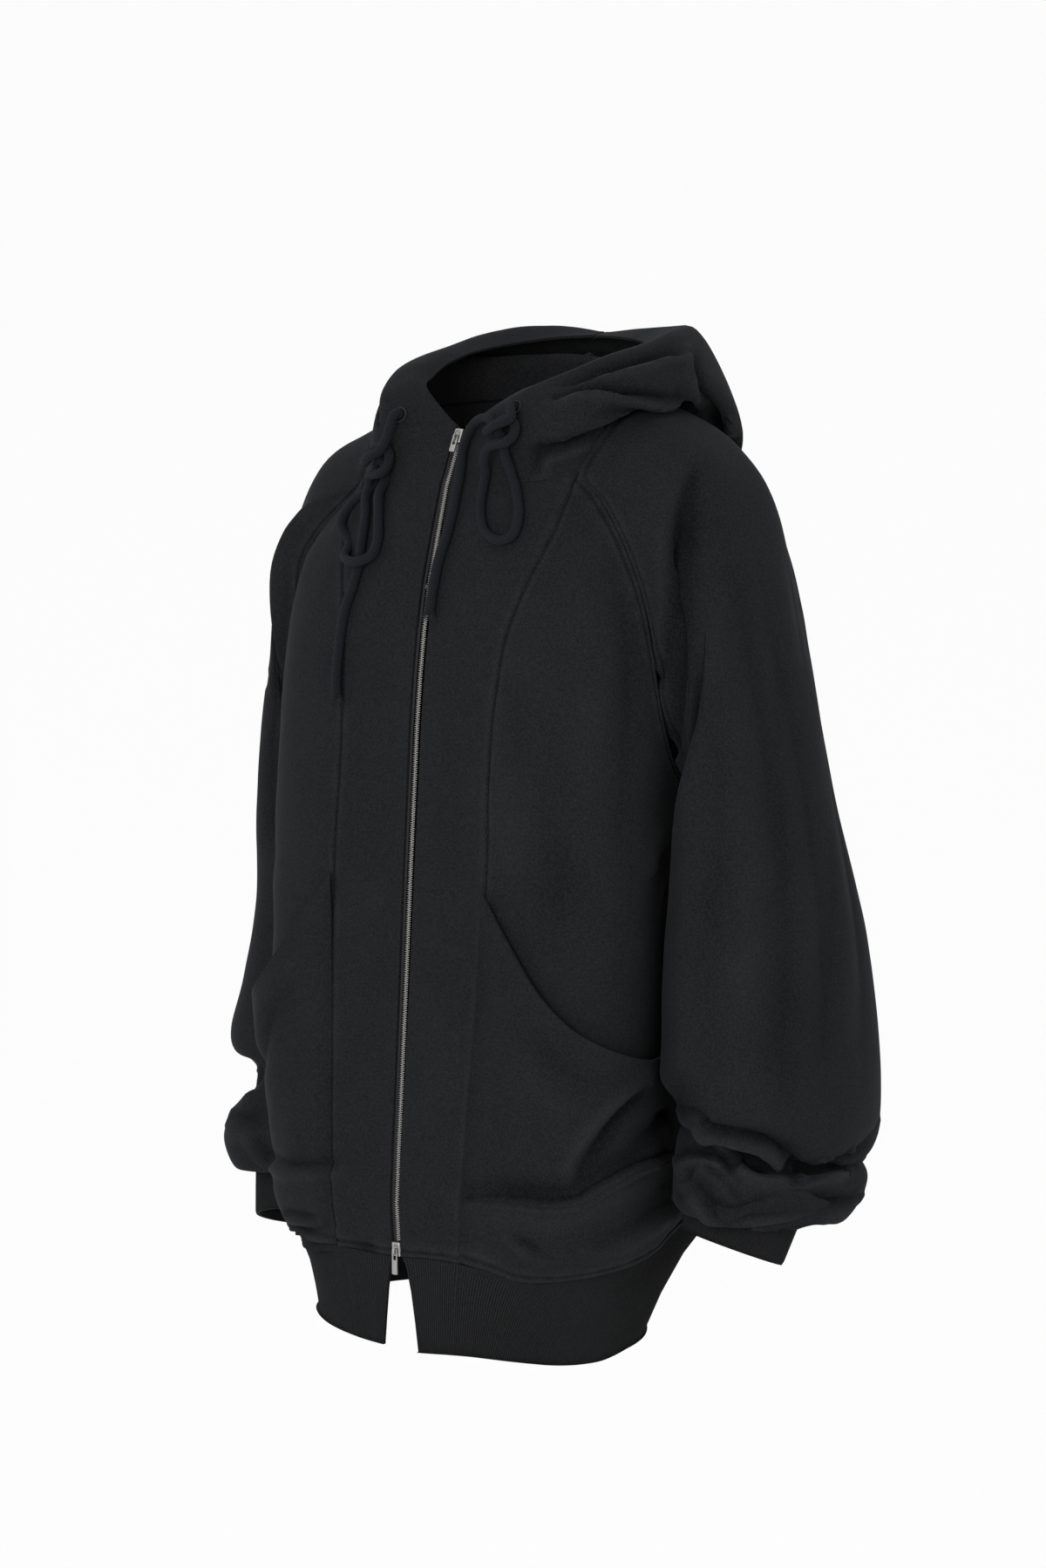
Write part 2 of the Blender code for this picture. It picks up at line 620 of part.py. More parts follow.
# ---------------------------------------------------------------- pockets and ribs
POCKET_GAP = 0.0006       # air between pocket and panel
POCKET_FOOT = 0.04        # start of the pocket, as a share of the panel's first row
POCKET_GAPE = 0.014       # how far the mouth stands off the panel
GAPE_GIRTH = 0.50
GAPE_SPREAD = 0.20
GAPE_FADE = 0.060         # height over which the pocket comes back to the panel
RIB_FOOT_LEFT = Table("girth height", [
    (0.0, -0.790), (0.25, -0.788), (0.45, -0.791), (0.65, -0.795), (0.85, -0.795),
    (1.0, -0.790), (1.5, -0.782), (2.0, -0.780),
])
RIB_FOOT_RIGHT = Table("girth height", [
    (0.0, -0.788), (0.60, -0.784), (1.0, -0.784), (1.5, -0.780), (2.0, -0.780),
])
# The rib's foot holds to the hips: half widths, and its depth in front and behind.
RIB_FOOT_WIDTHS = {"left": 0.140, "right": 0.150}
RIB_FOOT_FRONT = 0.155
RIB_FOOT_BACK = 0.065
RIB_OPEN_LEFT = 0.0110     # how far each front edge of the rib swings open at its foot
RIB_OPEN_RIGHT = 0.0160
RIB_OPEN_REACH = 0.5       # girth over which that opening fades
RIB_DROPS = [0.0, 0.07, 0.45, 0.96, 1.0]
RIB_SHARE = [0.0, 1.0, 1.0, 1.0, 0.4]   # how much of its raise a rib has at each drop
RIB_GATHER = 0.55          # below 1, the hem's rib draws in soon under its seam
HEM_STEPS = 4              # grid columns of the hem's rib for each one of the body
CUFF_STEPS = 2             # and of each cuff for each one of the sleeve


def pocket_piece(cloth, panel, name, girths, material):
    """Patch on a side front, made from that panel's points and moved out."""
    grid = cloth.grids[panel]
    inner, outer = [], []
    for j in range(MOUTH_ROW + 1):
        low_row, high_row = [], []
        for i, girth in enumerate(girths):
            point = grid[j][i] if j else grid[0][i].lerp(grid[1][i], POCKET_FOOT)
            normal = cloth.normals[key_of(grid[j][i])]
            below = (grid[MOUTH_ROW][i] - point).length
            gape = POCKET_GAPE * math.exp(-((girth - GAPE_GIRTH) / GAPE_SPREAD) ** 2)
            stand = POCKET_GAP + gape * math.exp(-(below / GAPE_FADE) ** 2)
            low_row.append(point + normal * stand)
            high_row.append(point + normal * (stand + CLOTH))
        inner.append(low_row)
        outer.append(high_row)
    return add_object(name, wall_mesh(name, outer, inner, False), material)


def ribbed_piece(cloth, name, shares, steps, material):
    """Rib knit: ribs stand out of the outer wall over a plain inside."""
    ring = name in cloth.rings
    grid = cloth.grids[name]
    outer, inner = [], []
    for j, row in enumerate(grid):
        outs, backs = [], []
        for i, point in enumerate(row):
            place = inset(grid, i, j, ring)
            normal = cloth.normals[key_of(point)]
            outs.append(place + normal * (RIB_RAISE * shares[j] * (i % 2)))
            if i % steps == 0:
                backs.append(place - normal * RIB_CLOTH)
        outer.append(outs)
        inner.append(backs)
    return add_object(name, wall_mesh(name, outer, inner, ring, steps), material)


def finer(row, steps, ring):
    """A row of points with every span cut into equal straight steps."""
    count = len(row)
    result = []
    for i in range(count if ring else count - 1):
        a, b = row[i], row[(i + 1) % count]
        result += [a.lerp(b, n / steps) for n in range(steps)]
    return result if ring else result + [row[-1]]


def foot_line(side_name, table, opening):
    """Foot of the hem's rib on one side, from the zip to the middle of the back."""
    princess = PRINCESS.at(-0.72, "girth")
    back_columns = RAGLAN_COLUMNS + NECK_COLUMNS
    girths = [princess * i / FRONT_COLUMNS for i in range(FRONT_COLUMNS)]
    girths += [mix(princess, 1.0, i / SIDE_COLUMNS) for i in range(SIDE_COLUMNS)]
    girths += [1 + i / back_columns for i in range(back_columns + 1)]
    girths[0] = NECKLINE_FRONT[0][0]
    middle = (RIB_FOOT_BACK - RIB_FOOT_FRONT) / 2
    reach = (RIB_FOOT_BACK + RIB_FOOT_FRONT) / 2
    points = []
    for girth in girths:
        angle = math.pi / 2 * girth
        swing = opening * max(0.0, 1 - girth / RIB_OPEN_REACH) ** 2
        x = RIB_FOOT_WIDTHS[side_name] * math.sin(angle) + swing
        points.append(Vector((x, middle - reach * math.cos(angle), table.at(girth, "height"))))
    points[-1].x = 0
    return points


def hem_grid(seam_left, seam_right):
    """Rib of the hem, from its foot to its seam, from the left front edge round to the right."""
    left = foot_line("left", RIB_FOOT_LEFT, RIB_OPEN_LEFT)
    right = mirrored([foot_line("right", RIB_FOOT_RIGHT, RIB_OPEN_RIGHT)])[0]
    fine_seam = finer(seam_left + seam_right[1:], HEM_STEPS, False)
    fine_feet = finer(left + right[1:], HEM_STEPS, False)
    rows = []
    for drop in reversed(RIB_DROPS):
        row = []
        for a, b in zip(fine_seam, fine_feet):
            point = a.lerp(b, drop ** RIB_GATHER)
            row.append(Vector((point.x, point.y, mix(a.z, b.z, drop))))
        rows.append(row)
    return rows


def cuff_grid(seam, side_name):
    """Rib of a cuff, from its seam to its foot."""
    fine_seam = finer(seam, CUFF_STEPS, True)
    foot = finer([cuff_point(side_name, 1.0, i / SLEEVE_AROUND) for i in range(SLEEVE_AROUND)],
                 CUFF_STEPS, True)
    return [[a.lerp(b, drop) for a, b in zip(fine_seam, foot)] for drop in RIB_DROPS]


def share_normals(cloth, name, row, steps):
    """Between the sewn corners, a rib's edge takes its normals from both of them."""
    points = cloth.grids[name][row]
    count = len(points)
    for i in range(count):
        t = (i % steps) / steps
        if t:
            low = cloth.normals[key_of(points[i - i % steps])]
            high = cloth.normals[key_of(points[(i - i % steps + steps) % count])]
            cloth.normals[key_of(points[i])] = low.lerp(high, t).normalized()


# ---------------------------------------------------------------- zip and its hardware
TAPE_WIDTH = 0.008
TAPE_THICK = 0.0008
TAPE_SINK = 0.0014        # air between a front and the tape behind it
TAPE_REACH = 0.0015       # how far a tape reaches past the cloth's edge
CHAIN_WIDTH = 0.0056
CHAIN_THICK = 0.0026
CHAIN_DEPTH = 0.0033      # depth of the teeth's middle behind the cloth's face
SLIDER_WIDTH = 0.0082
SLIDER_LENGTH = 0.0120
SLIDER_BACK = -0.0018
SLIDER_FRONT = 0.0014
BRIDGE_RADIUS = 0.0008
BRIDGE_RISE = 0.0032
BRIDGE_HALF = 0.0036
TAB_WIDTH = 0.0052
TAB_THICK = 0.0010
TAB_SLOT_WIDTH = 0.0028
TAB_SLOT_LENGTH = 0.0080
TAB_BAR = 0.0011
TAB_STAND = 0.0011        # height of the tab's axis over the slider
TAB_LENGTHS = {"top_pull_tab": 0.0150, "bottom_pull_tab": 0.0210}
EYELET_RADIUS = 0.0057
EYELET_WIRE = 0.0011
EYELET_COLUMN = 2         # grid column of the hood, counted from the zip
EYELET_ROWS = {"left": 9, "right": 6}


class Zip:
    """The line of the zip, walked by its length from the hem up."""

    def __init__(self, left_edge, right_edge, left_normals, right_normals):
        self.points = [(a + b) / 2 for a, b in zip(left_edge, right_edge)]
        self.normals = [(a + b).normalized() for a, b in zip(left_normals, right_normals)]
        self.walked = [0.0]
        for a, b in zip(self.points, self.points[1:]):
            self.walked.append(self.walked[-1] + (b - a).length)
        self.length = self.walked[-1]

    def at(self, distance):
        """Point, forward normal and upward tangent at a distance along the zip."""
        last = len(self.walked) - 2
        i = min(max(n for n in range(len(self.walked)) if self.walked[n] <= distance), last)
        t = (distance - self.walked[i]) / (self.walked[i + 1] - self.walked[i])
        tangent = (self.points[i + 1] - self.points[i]).normalized()
        normal = self.normals[i].lerp(self.normals[i + 1], t)
        normal.x = 0
        normal -= tangent * normal.dot(tangent)
        return self.points[i].lerp(self.points[i + 1], t), normal.normalized(), tangent


def strip(name, corners, material):
    """Closed bar through rows of four corners each."""
    mesh = bpy.data.meshes.new(name)
    bm = bmesh.new()
    rings = [[bm.verts.new(p) for p in four] for four in corners]
    for low, high in zip(rings, rings[1:]):
        for i in range(4):
            k = (i + 1) % 4
            bm.faces.new((low[i], low[k], high[k], high[i]))
    bm.faces.new(rings[0][::-1])
    bm.faces.new(rings[-1])
    bmesh.ops.recalc_face_normals(bm, faces=bm.faces)
    bm.to_mesh(mesh)
    bm.free()
    return add_object(name, mesh, material)


def zip_tape(name, edge, beside, normals, material):
    """Woven tape behind one front edge; its own inner edge carries the teeth."""
    rows = []
    for point, next_in, ends in zip(edge, beside, normals):
        span = (next_in - point).length
        across = (next_in - point) / span
        near_face, far_face = ends[0], ends[0].lerp(ends[1], TAPE_WIDTH / span).normalized()
        near = point - across * TAPE_REACH - near_face * (CLOTH + TAPE_SINK)
        far = point + across * TAPE_WIDTH - far_face * (CLOTH + TAPE_SINK)
        rows.append((near, far, far - far_face * TAPE_THICK, near - near_face * TAPE_THICK))
    return strip(name, rows, material)


def zip_chain(line, low, high, material):
    rows = []
    marks = [low] + [w for w in line.walked if low + 0.004 < w < high - 0.004] + [high]
    for distance in marks:
        point, normal, _ = line.at(distance)
        half = Vector((CHAIN_WIDTH / 2, 0, 0))
        front = point - normal * (CHAIN_DEPTH - CHAIN_THICK / 2)
        back = point - normal * (CHAIN_DEPTH + CHAIN_THICK / 2)
        rows.append((front - half, front + half, back + half, back - half))
    return strip("zip_chain", rows, material)


def slider(name, line, distance, material):
    """Slider plate with the bridge that its pull tab hangs from."""
    point, normal, tangent = line.at(distance)
    lean = math.atan2(-normal.z, -normal.y)
    depth = SLIDER_FRONT - SLIDER_BACK
    bpy.ops.mesh.primitive_cube_add(size=1)
    body = bpy.context.object
    body.name = name
    for vertex in body.data.vertices:
        vertex.co.x *= SLIDER_WIDTH
        vertex.co.y = vertex.co.y * depth - (SLIDER_FRONT + SLIDER_BACK) / 2
        vertex.co.z *= SLIDER_LENGTH
    bevel = body.modifiers.new("rounded edges", "BEVEL")
    bevel.width = 0.0012
    bevel.segments = 2
    curve = bpy.data.curves.new(name + "_bridge", "CURVE")
    curve.dimensions = "3D"
    curve.bevel_depth = BRIDGE_RADIUS
    curve.bevel_resolution = 1
    curve.use_fill_caps = True
    spline = curve.splines.new("POLY")
    route = [(SLIDER_FRONT - 0.0008, BRIDGE_HALF), (SLIDER_FRONT + 0.6 * BRIDGE_RISE, BRIDGE_HALF),
             (SLIDER_FRONT + BRIDGE_RISE, 0.6 * BRIDGE_HALF),
             (SLIDER_FRONT + BRIDGE_RISE, -0.6 * BRIDGE_HALF),
             (SLIDER_FRONT + 0.6 * BRIDGE_RISE, -BRIDGE_HALF),
             (SLIDER_FRONT - 0.0008, -BRIDGE_HALF)]
    spline.points.add(len(route) - 1)
    for node, (out, up) in zip(spline.points, route):
        node.co = (0, -out, up, 1)
    holder = bpy.data.objects.new(name + "_bridge", curve)
    bpy.context.scene.collection.objects.link(holder)
    bridge_mesh = bpy.data.meshes.new_from_object(
        holder.evaluated_get(bpy.context.evaluated_depsgraph_get()))
    bpy.data.objects.remove(holder)
    bm = bmesh.new()
    bm.from_mesh(bridge_mesh)
    bmesh.ops.remove_doubles(bm, verts=bm.verts, dist=0.00001)
    bmesh.ops.recalc_face_normals(bm, faces=bm.faces)
    bm.to_mesh(bridge_mesh)
    bm.free()
    bridge = bpy.data.objects.new(name + "_bridge", bridge_mesh)
    bpy.data.collections["cutters"].objects.link(bridge)
    bridge.hide_render = True
    bridge.display_type = "WIRE"
    union = body.modifiers.new("bridge", "BOOLEAN")
    union.operation = "UNION"
    union.object = bridge
    for item in (body, bridge):
        item.location = point
        item.rotation_euler = (lean, 0, 0)
    for holder_collection in list(body.users_collection):
        holder_collection.objects.unlink(body)
    bpy.data.collections[COLLECTION].objects.link(body)
    body.data.materials.append(material)


def rounded_corners(half_width, low, high, radius, steps):
    """Outline of an upright rounded rectangle."""
    points = []
    for cx, cy, start in ((half_width, high, 0), (-half_width, high, 90),
                          (-half_width, low, 180), (half_width, low, 270)):
        mx = cx - math.copysign(radius, cx)
        my = cy - math.copysign(radius, cy - (low + high) / 2)
        for n in range(steps + 1):
            angle = math.radians(start + 90 * n / steps)
            points.append((mx + radius * math.cos(angle), my + radius * math.sin(angle)))
    return points


def pull_tab(name, line, distance, material):
    """Flat tab with a long slot; its top bar turns under the slider's bridge."""
    point, normal, _ = line.at(distance)
    axis_place = point + normal * (SLIDER_FRONT + TAB_STAND)
    tip_point, tip_normal, _ = line.at(max(0.0, distance - TAB_LENGTHS[name]))
    hang = tip_point + tip_normal * (SLIDER_FRONT + TAB_STAND) - axis_place
    lean = math.atan2(hang.y, -hang.z) if distance > TAB_LENGTHS[name] else 0.0
    curve = bpy.data.curves.new(name, "CURVE")
    curve.dimensions = "2D"
    curve.fill_mode = "BOTH"
    curve.extrude = TAB_THICK / 2
    curve.render_resolution_u = 0
    top = TAB_BAR / 2
    outlines = [
        rounded_corners(TAB_WIDTH / 2, top - TAB_LENGTHS[name], top, 0.0010, 3),
        rounded_corners(TAB_SLOT_WIDTH / 2, top - TAB_BAR - TAB_SLOT_LENGTH, top - TAB_BAR,
                        0.0007, 2),
    ]
    for outline_points in outlines:
        spline = curve.splines.new("POLY")
        spline.points.add(len(outline_points) - 1)
        for node, (x, y) in zip(spline.points, outline_points):
            node.co = (x, y, 0, 1)
        spline.use_cyclic_u = True
    tab = bpy.data.objects.new(name, curve)
    bpy.data.collections[COLLECTION].objects.link(tab)
    curve.materials.append(material)
    tab.location = axis_place
    tab.rotation_euler = (math.pi / 2 + lean, 0, 0)
    return tab


def eyelet(name, place, normal, material):
    """Ring that a drawcord comes out of."""
    bpy.ops.mesh.primitive_torus_add(major_radius=EYELET_RADIUS, minor_radius=EYELET_WIRE,
                                     major_segments=16, minor_segments=6)
    ring = bpy.context.object
    ring.name = name
    ring.location = place + normal * (EYELET_WIRE + SEAM_GAP)
    ring.rotation_euler = normal.to_track_quat("Z", "Y").to_euler()
    ring.data.shade_smooth()
    for holder_collection in list(ring.users_collection):
        holder_collection.objects.unlink(ring)
    bpy.data.collections[COLLECTION].objects.link(ring)
    ring.data.materials.append(material)


# ---------------------------------------------------------------- drawcords
CORD_RADIUS = 0.0040
CORD_TURN = 34            # degrees that a cord turns, at most, between points of its tube
CORD_SPAN = 0.022         # and the longest step between them
CORD_FINE = 0.0015        # step of the smooth curve that they are picked from
CORD_STAND = 0.0060       # a cord's middle off the cloth that it lies on
EXIT_STANDS = (0.0010, 0.0070)
# Slipped knots: where they lie on the cloth (x, z), and their turns in millimetres across,
# up and out from there.
KNOT_PLACES = {"left": (0.058, -0.045), "right": (-0.068, -0.076)}
KNOT_TURNS = [
    (10, 11, 13), (0, 3, 19), (-9, -2, 16), (-12, 1, 9.5), (-8, 8, 5.2), (1, 11, 4.8),
    (10, 6, 5.5), (13, -3, 9.5), (9, -9, 14), (1, -11, 14.5), (-7, -14, 13), (-12, -24, 11),
]
# The way back through each knot, from the loop to the free end.
KNOT_RETURNS = {
    "left": [(3, -16, 4.8), (1, -6, 6.5), (-4, 1, 11.8), (-10, 7, 13), (-17, 9, 10.5)],
    "right": [(4, -14, 4.8), (3, -5, 4.8), (-3, -1, 4.8), (-8, -6, 4.8), (-8, -16, 4.8)],
}
# Loops and free ends: x and z on the cloth, and how far the cord's middle stands off it.
LOOPS = {
    "left": [(0.042, -0.077, 0.007), (0.040, -0.092, CORD_STAND), (0.042, -0.110, CORD_STAND),
             (0.051, -0.124, CORD_STAND), (0.064, -0.129, CORD_STAND),
             (0.074, -0.125, CORD_STAND), (0.076, -0.112, CORD_STAND),
             (0.068, -0.092, CORD_STAND), (0.062, -0.074, CORD_STAND)],
    "right": [(-0.096, -0.117, 0.007), (-0.103, -0.133, CORD_STAND), (-0.099, -0.147, 0.006),
              (-0.083, -0.157, 0.009), (-0.066, -0.159, 0.0132), (-0.055, -0.152, 0.009),
              (-0.054, -0.140, 0.006), (-0.058, -0.122, CORD_STAND),
              (-0.064, -0.105, CORD_STAND)],
}
FREE_ENDS = {
    "left": [(0.024, -0.043, 0.007), (0.017, -0.057, CORD_STAND), (0.017, -0.086, CORD_STAND),
             (0.016, -0.121, CORD_STAND), (0.011, -0.152, CORD_STAND),
             (0.0095, -0.190, CORD_STAND)],
    "right": [(-0.080, -0.108, CORD_STAND), (-0.074, -0.122, CORD_STAND),
              (-0.071, -0.141, CORD_STAND), (-0.069, -0.160, CORD_STAND),
              (-0.072, -0.177, CORD_STAND), (-0.077, -0.196, CORD_STAND),
              (-0.079, -0.222, CORD_STAND), (-0.079, -0.250, CORD_STAND),
              (-0.077, -0.265, CORD_STAND)],
}


class Fronts:
    """The outer faces of the fronts and the hood, to lay the cords on."""

    def __init__(self, cloth):
        corners, faces = [], []
        for name in cloth.grids:
            if "front" in name or "hood" in name:
                for face in cloth.faces(name):
                    faces.append(range(len(corners), len(corners) + 4))
                    corners.extend(face)
        self.tree = BVHTree.FromPolygons(corners, faces)

    def place(self, x, z, stand):
        """Point that stands off the cloth at x and z."""
        hit, normal, _, _ = self.tree.ray_cast(Vector((x, -1, z)), Vector((0, 1, 0)))
        return hit + (normal if normal.y < 0 else -normal) * stand

    def in_knot(self, side_name, across, up, out):
        """Point of a knot, from its millimetres across, up and out."""
        x, z = KNOT_PLACES[side_name]
        base = self.place(x, z, 0)
        outward = (self.place(x, z, 1) - base).normalized()
        sideways = Vector((-outward.y, outward.x, 0)).normalized()
        upward = outward.cross(sideways)
        upward = upward if upward.z > 0 else -upward
        return base + (sideways * across + upward * up + outward * out) / 1000


def cord_route(fronts, side_name, exit_place, exit_normal):
    """Route of one drawcord: out of its eyelet, through its knot and loop, to its free end."""
    route = [exit_place + exit_normal * stand for stand in EXIT_STANDS]
    route += [fronts.in_knot(side_name, *turn) for turn in KNOT_TURNS]
    route += [fronts.place(*spot) for spot in LOOPS[side_name]]
    route += [fronts.in_knot(side_name, *turn) for turn in KNOT_RETURNS[side_name]]
    route += [fronts.place(*spot) for spot in FREE_ENDS[side_name]]
    return [tuple(point) for point in route]


def cord_points(route):
    """Points of the smooth curve through a route, closest where it turns."""
    length = sum(math.dist(a, b) for a, b in zip(route, route[1:]))
    dense = [Vector(p) for p in along_line(route, round(length / CORD_FINE))]
    kept = [dense[0]]
    held = dense[1] - dense[0]
    walked = 0.0
    for before, here in zip(dense, dense[1:]):
        walked += (here - before).length
        if math.degrees(held.angle(here - before)) > CORD_TURN or walked > CORD_SPAN:
            kept.append(before)
            held = here - before
            walked = 0.0
    return kept + [dense[-1]]


def cord(name, route, material):
    """Tube along a cord's route."""
    points = cord_points(route)
    curve = bpy.data.curves.new(name, "CURVE")
    curve.dimensions = "3D"
    curve.bevel_depth = CORD_RADIUS
    curve.bevel_resolution = 2
    curve.use_fill_caps = True
    curve.render_resolution_u = 0
    spline = curve.splines.new("POLY")
    spline.points.add(len(points) - 1)
    for node, point in zip(spline.points, points):
        node.co = (*point, 1)
    item = bpy.data.objects.new(name, curve)
    bpy.data.collections[COLLECTION].objects.link(item)
    curve.materials.append(material)


# ---------------------------------------------------------------- materials and assembly
def material(name, colour, roughness, metallic=0.0):
    made = bpy.data.materials.new(name)
    made.use_nodes = True
    shader = made.node_tree.nodes["Principled BSDF"]
    shader.inputs["Base Color"].default_value = (*colour, 1)
    shader.inputs["Roughness"].default_value = roughness
    shader.inputs["Metallic"].default_value = metallic
    return made


def clear_scene():
    for item in list(bpy.data.objects):
        bpy.data.objects.remove(item)
    for name in (COLLECTION, "cutters"):
        made = bpy.data.collections.new(name)
        bpy.context.scene.collection.children.link(made)


def build_cloth():
    """All cloth pieces on one joined surface, left side first."""
    cloth = Cloth()
    sides = {
        "left": body_grids(RIB_SEAM_LEFT, BODY_FOLDS_LEFT),
        "right": body_grids(RIB_SEAM_RIGHT, BODY_FOLDS_RIGHT),
    }
    front, side, half_back = sides["left"][1]
    shoulder = along_line([tuple(front[-1][-1]), *SHOULDER_LINE,
                           tuple(half_back[-1][RAGLAN_COLUMNS])], SHOULDER_COLUMNS)
    shoulder = [front[-1][-1]] + [Vector(p) for p in shoulder[1:-1]] + [
        half_back[-1][RAGLAN_COLUMNS]]
    middle = SHOULDER_COLUMNS // 2
    raglan_ring = (shoulder[middle:0:-1] + side[-1] + half_back[-1][1:RAGLAN_COLUMNS + 1]
                   + shoulder[-2:middle:-1])
    neck_seam = front[-1] + shoulder[1:] + half_back[-1][RAGLAN_COLUMNS + 1:]
    feet = {}
    for name, (_, (front, side, half_back)) in sides.items():
        sleeve = sleeve_grid(raglan_ring, name)
        cuff = cuff_grid(sleeve[-1], name)
        hood = hood_grid(neck_seam, name)
        turn = mirrored if name == "right" else list
        cloth.add(f"centre_front_{name}", turn(front))
        cloth.add(f"side_front_{name}", turn(side))
        cloth.add(f"sleeve_{name}", turn(sleeve), ring=True)
        cloth.add(f"cuff_{name}", turn(cuff), ring=True)
        cloth.add(f"hood_{name}", turn(hood))
        feet[name] = turn([front[0] + side[0][1:] + half_back[0][1:]])[0]
    back = [left + right[1:] for left, right in
            zip(sides["left"][1][2], mirrored(sides["right"][1][2]))]
    cloth.add("back", back)
    cloth.add("hem_rib", hem_grid(feet["left"], feet["right"]))
    cloth.find_normals()
    share_normals(cloth, "hem_rib", len(RIB_DROPS) - 1, HEM_STEPS)
    for name in sides:
        share_normals(cloth, f"cuff_{name}", 0, CUFF_STEPS)
    return cloth, sides


def build():
    clear_scene()
    jersey = material("charcoal jersey", (0.016, 0.017, 0.018), 0.9)
    rib = material("charcoal rib", (0.013, 0.014, 0.015), 0.9)
    cord_knit = material("drawcord", (0.014, 0.016, 0.020), 0.85)
    tape = material("zip tape", (0.012, 0.012, 0.013), 0.8)
    nickel = material("nickel", (0.60, 0.59, 0.57), 0.35, 1.0)
    cloth, sides = build_cloth()
    for name in cloth.grids:
        if "cuff" in name:
            ribbed_piece(cloth, name, RIB_SHARE, CUFF_STEPS, rib)
        elif name == "hem_rib":
            ribbed_piece(cloth, name, RIB_SHARE[::-1], HEM_STEPS, rib)
        else:
            sewn_piece(cloth, name, jersey)
    for name in ("left", "right"):
        girths = [cell[0] for cell in sides[name][0][MOUTH_ROW]]
        if name == "right":
            girths = girths[::-1]
        pocket_piece(cloth, f"side_front_{name}", f"pocket_{name}", girths, jersey)

    def edge(piece, column):
        return [row[column] for row in cloth.grids[piece]]

    lines = {}
    for name, column, beside in (("left", 0, 1), ("right", -1, -2)):
        points = edge(f"centre_front_{name}", column) + edge(f"hood_{name}", column)[1:]
        inner = edge(f"centre_front_{name}", beside) + edge(f"hood_{name}", beside)[1:]
        normals = [(cloth.normals[key_of(p)], cloth.normals[key_of(q)])
                   for p, q in zip(points, inner)]
        lines[name] = (points, inner, normals)
        zip_tape(f"zip_tape_{name}", *lines[name], tape)
    line = Zip(lines["left"][0], lines["right"][0],
               [ends[0] for ends in lines["left"][2]], [ends[0] for ends in lines["right"][2]])
    places = {"bottom": SLIDER_LENGTH / 2, "top": line.length - SLIDER_LENGTH / 2 - 0.003}
    reach = SLIDER_LENGTH / 2 + SEAM_GAP
    zip_chain(line, places["bottom"] + reach, places["top"] - reach, nickel)
    for name, distance in places.items():
        slider(f"{name}_slider", line, distance, nickel)
        pull_tab(f"{name}_pull_tab", line, distance, nickel)
    fronts = Fronts(cloth)
    for name in ("left", "right"):
        grid = cloth.grids[f"hood_{name}"]
        column = EYELET_COLUMN if name == "left" else len(grid[0]) - 1 - EYELET_COLUMN
        place = grid[EYELET_ROWS[name]][column]
        normal = cloth.normals[key_of(place)]
        eyelet(f"eyelet_{name}", place, normal, cord_knit)
        cord(f"drawcord_{name}", cord_route(fronts, name, place, normal), cord_knit)


build()
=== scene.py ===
"""Dresses the zip up hoodie: jersey, ribs, stitching, zip, drawcords and a plain stage.

Laid out as an add-on with one operator for each group of pieces. Metres, +Z up; the
garment faces -Y and its own left side is +X.
"""
import math

import bmesh
import bpy
import numpy as np
from bpy.props import FloatProperty, FloatVectorProperty, IntProperty, PointerProperty
from mathutils import Matrix, Vector, noise
from mathutils.bvhtree import BVHTree


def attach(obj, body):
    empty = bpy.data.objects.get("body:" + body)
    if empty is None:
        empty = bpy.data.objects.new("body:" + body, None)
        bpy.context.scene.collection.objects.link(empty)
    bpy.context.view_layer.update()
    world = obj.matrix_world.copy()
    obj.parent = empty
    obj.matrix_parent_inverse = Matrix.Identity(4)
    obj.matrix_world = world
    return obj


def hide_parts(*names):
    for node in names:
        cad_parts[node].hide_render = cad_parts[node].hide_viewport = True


bl_info = {
    "name": "Zip up hoodie",
    "version": (1, 0, 0),
    "blender": (4, 5, 0),
    "location": "3D View > Sidebar > Hoodie",
    "description": "Cloth, ribs, stitching, zip and drawcords of a zip up hoodie",
    "category": "Object",
}

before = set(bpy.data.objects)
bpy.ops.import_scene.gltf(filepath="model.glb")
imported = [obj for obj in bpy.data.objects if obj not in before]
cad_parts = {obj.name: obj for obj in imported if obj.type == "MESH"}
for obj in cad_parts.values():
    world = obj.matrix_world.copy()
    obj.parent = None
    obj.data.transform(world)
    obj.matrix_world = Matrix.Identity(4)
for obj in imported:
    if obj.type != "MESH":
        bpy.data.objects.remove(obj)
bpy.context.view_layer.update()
BODY = "garment"
SIDES = ("left", "right")


# ---------------------------------------------------------------- sizes and colours
class JerseySettings(bpy.types.PropertyGroup):
    wall: FloatProperty(name="Wall", description="Thickness of the jersey",
                        default=0.0022, unit="LENGTH")
    step: FloatProperty(name="Step", description="Spacing of the points that carry the creases",
                        default=0.0037, unit="LENGTH")
    wave: FloatProperty(name="Wave", description="Height of the cloth's slow waves",
                        default=0.0011, unit="LENGTH")
    wave_length: FloatProperty(name="Wave length", description="Length of the slow waves",
                               default=0.075, unit="LENGTH")
    seam_dip: FloatProperty(name="Seam dip", description="How far a sewn edge sinks in",
                            default=0.0009, unit="LENGTH")
    wale: FloatProperty(name="Wale", description="Width of one column of knit stitches",
                        default=0.0011, unit="LENGTH")
    colour: FloatVectorProperty(name="Colour", description="Charcoal of the jersey",
                                subtype="COLOR", size=3, default=(0.0112, 0.0117, 0.0126))


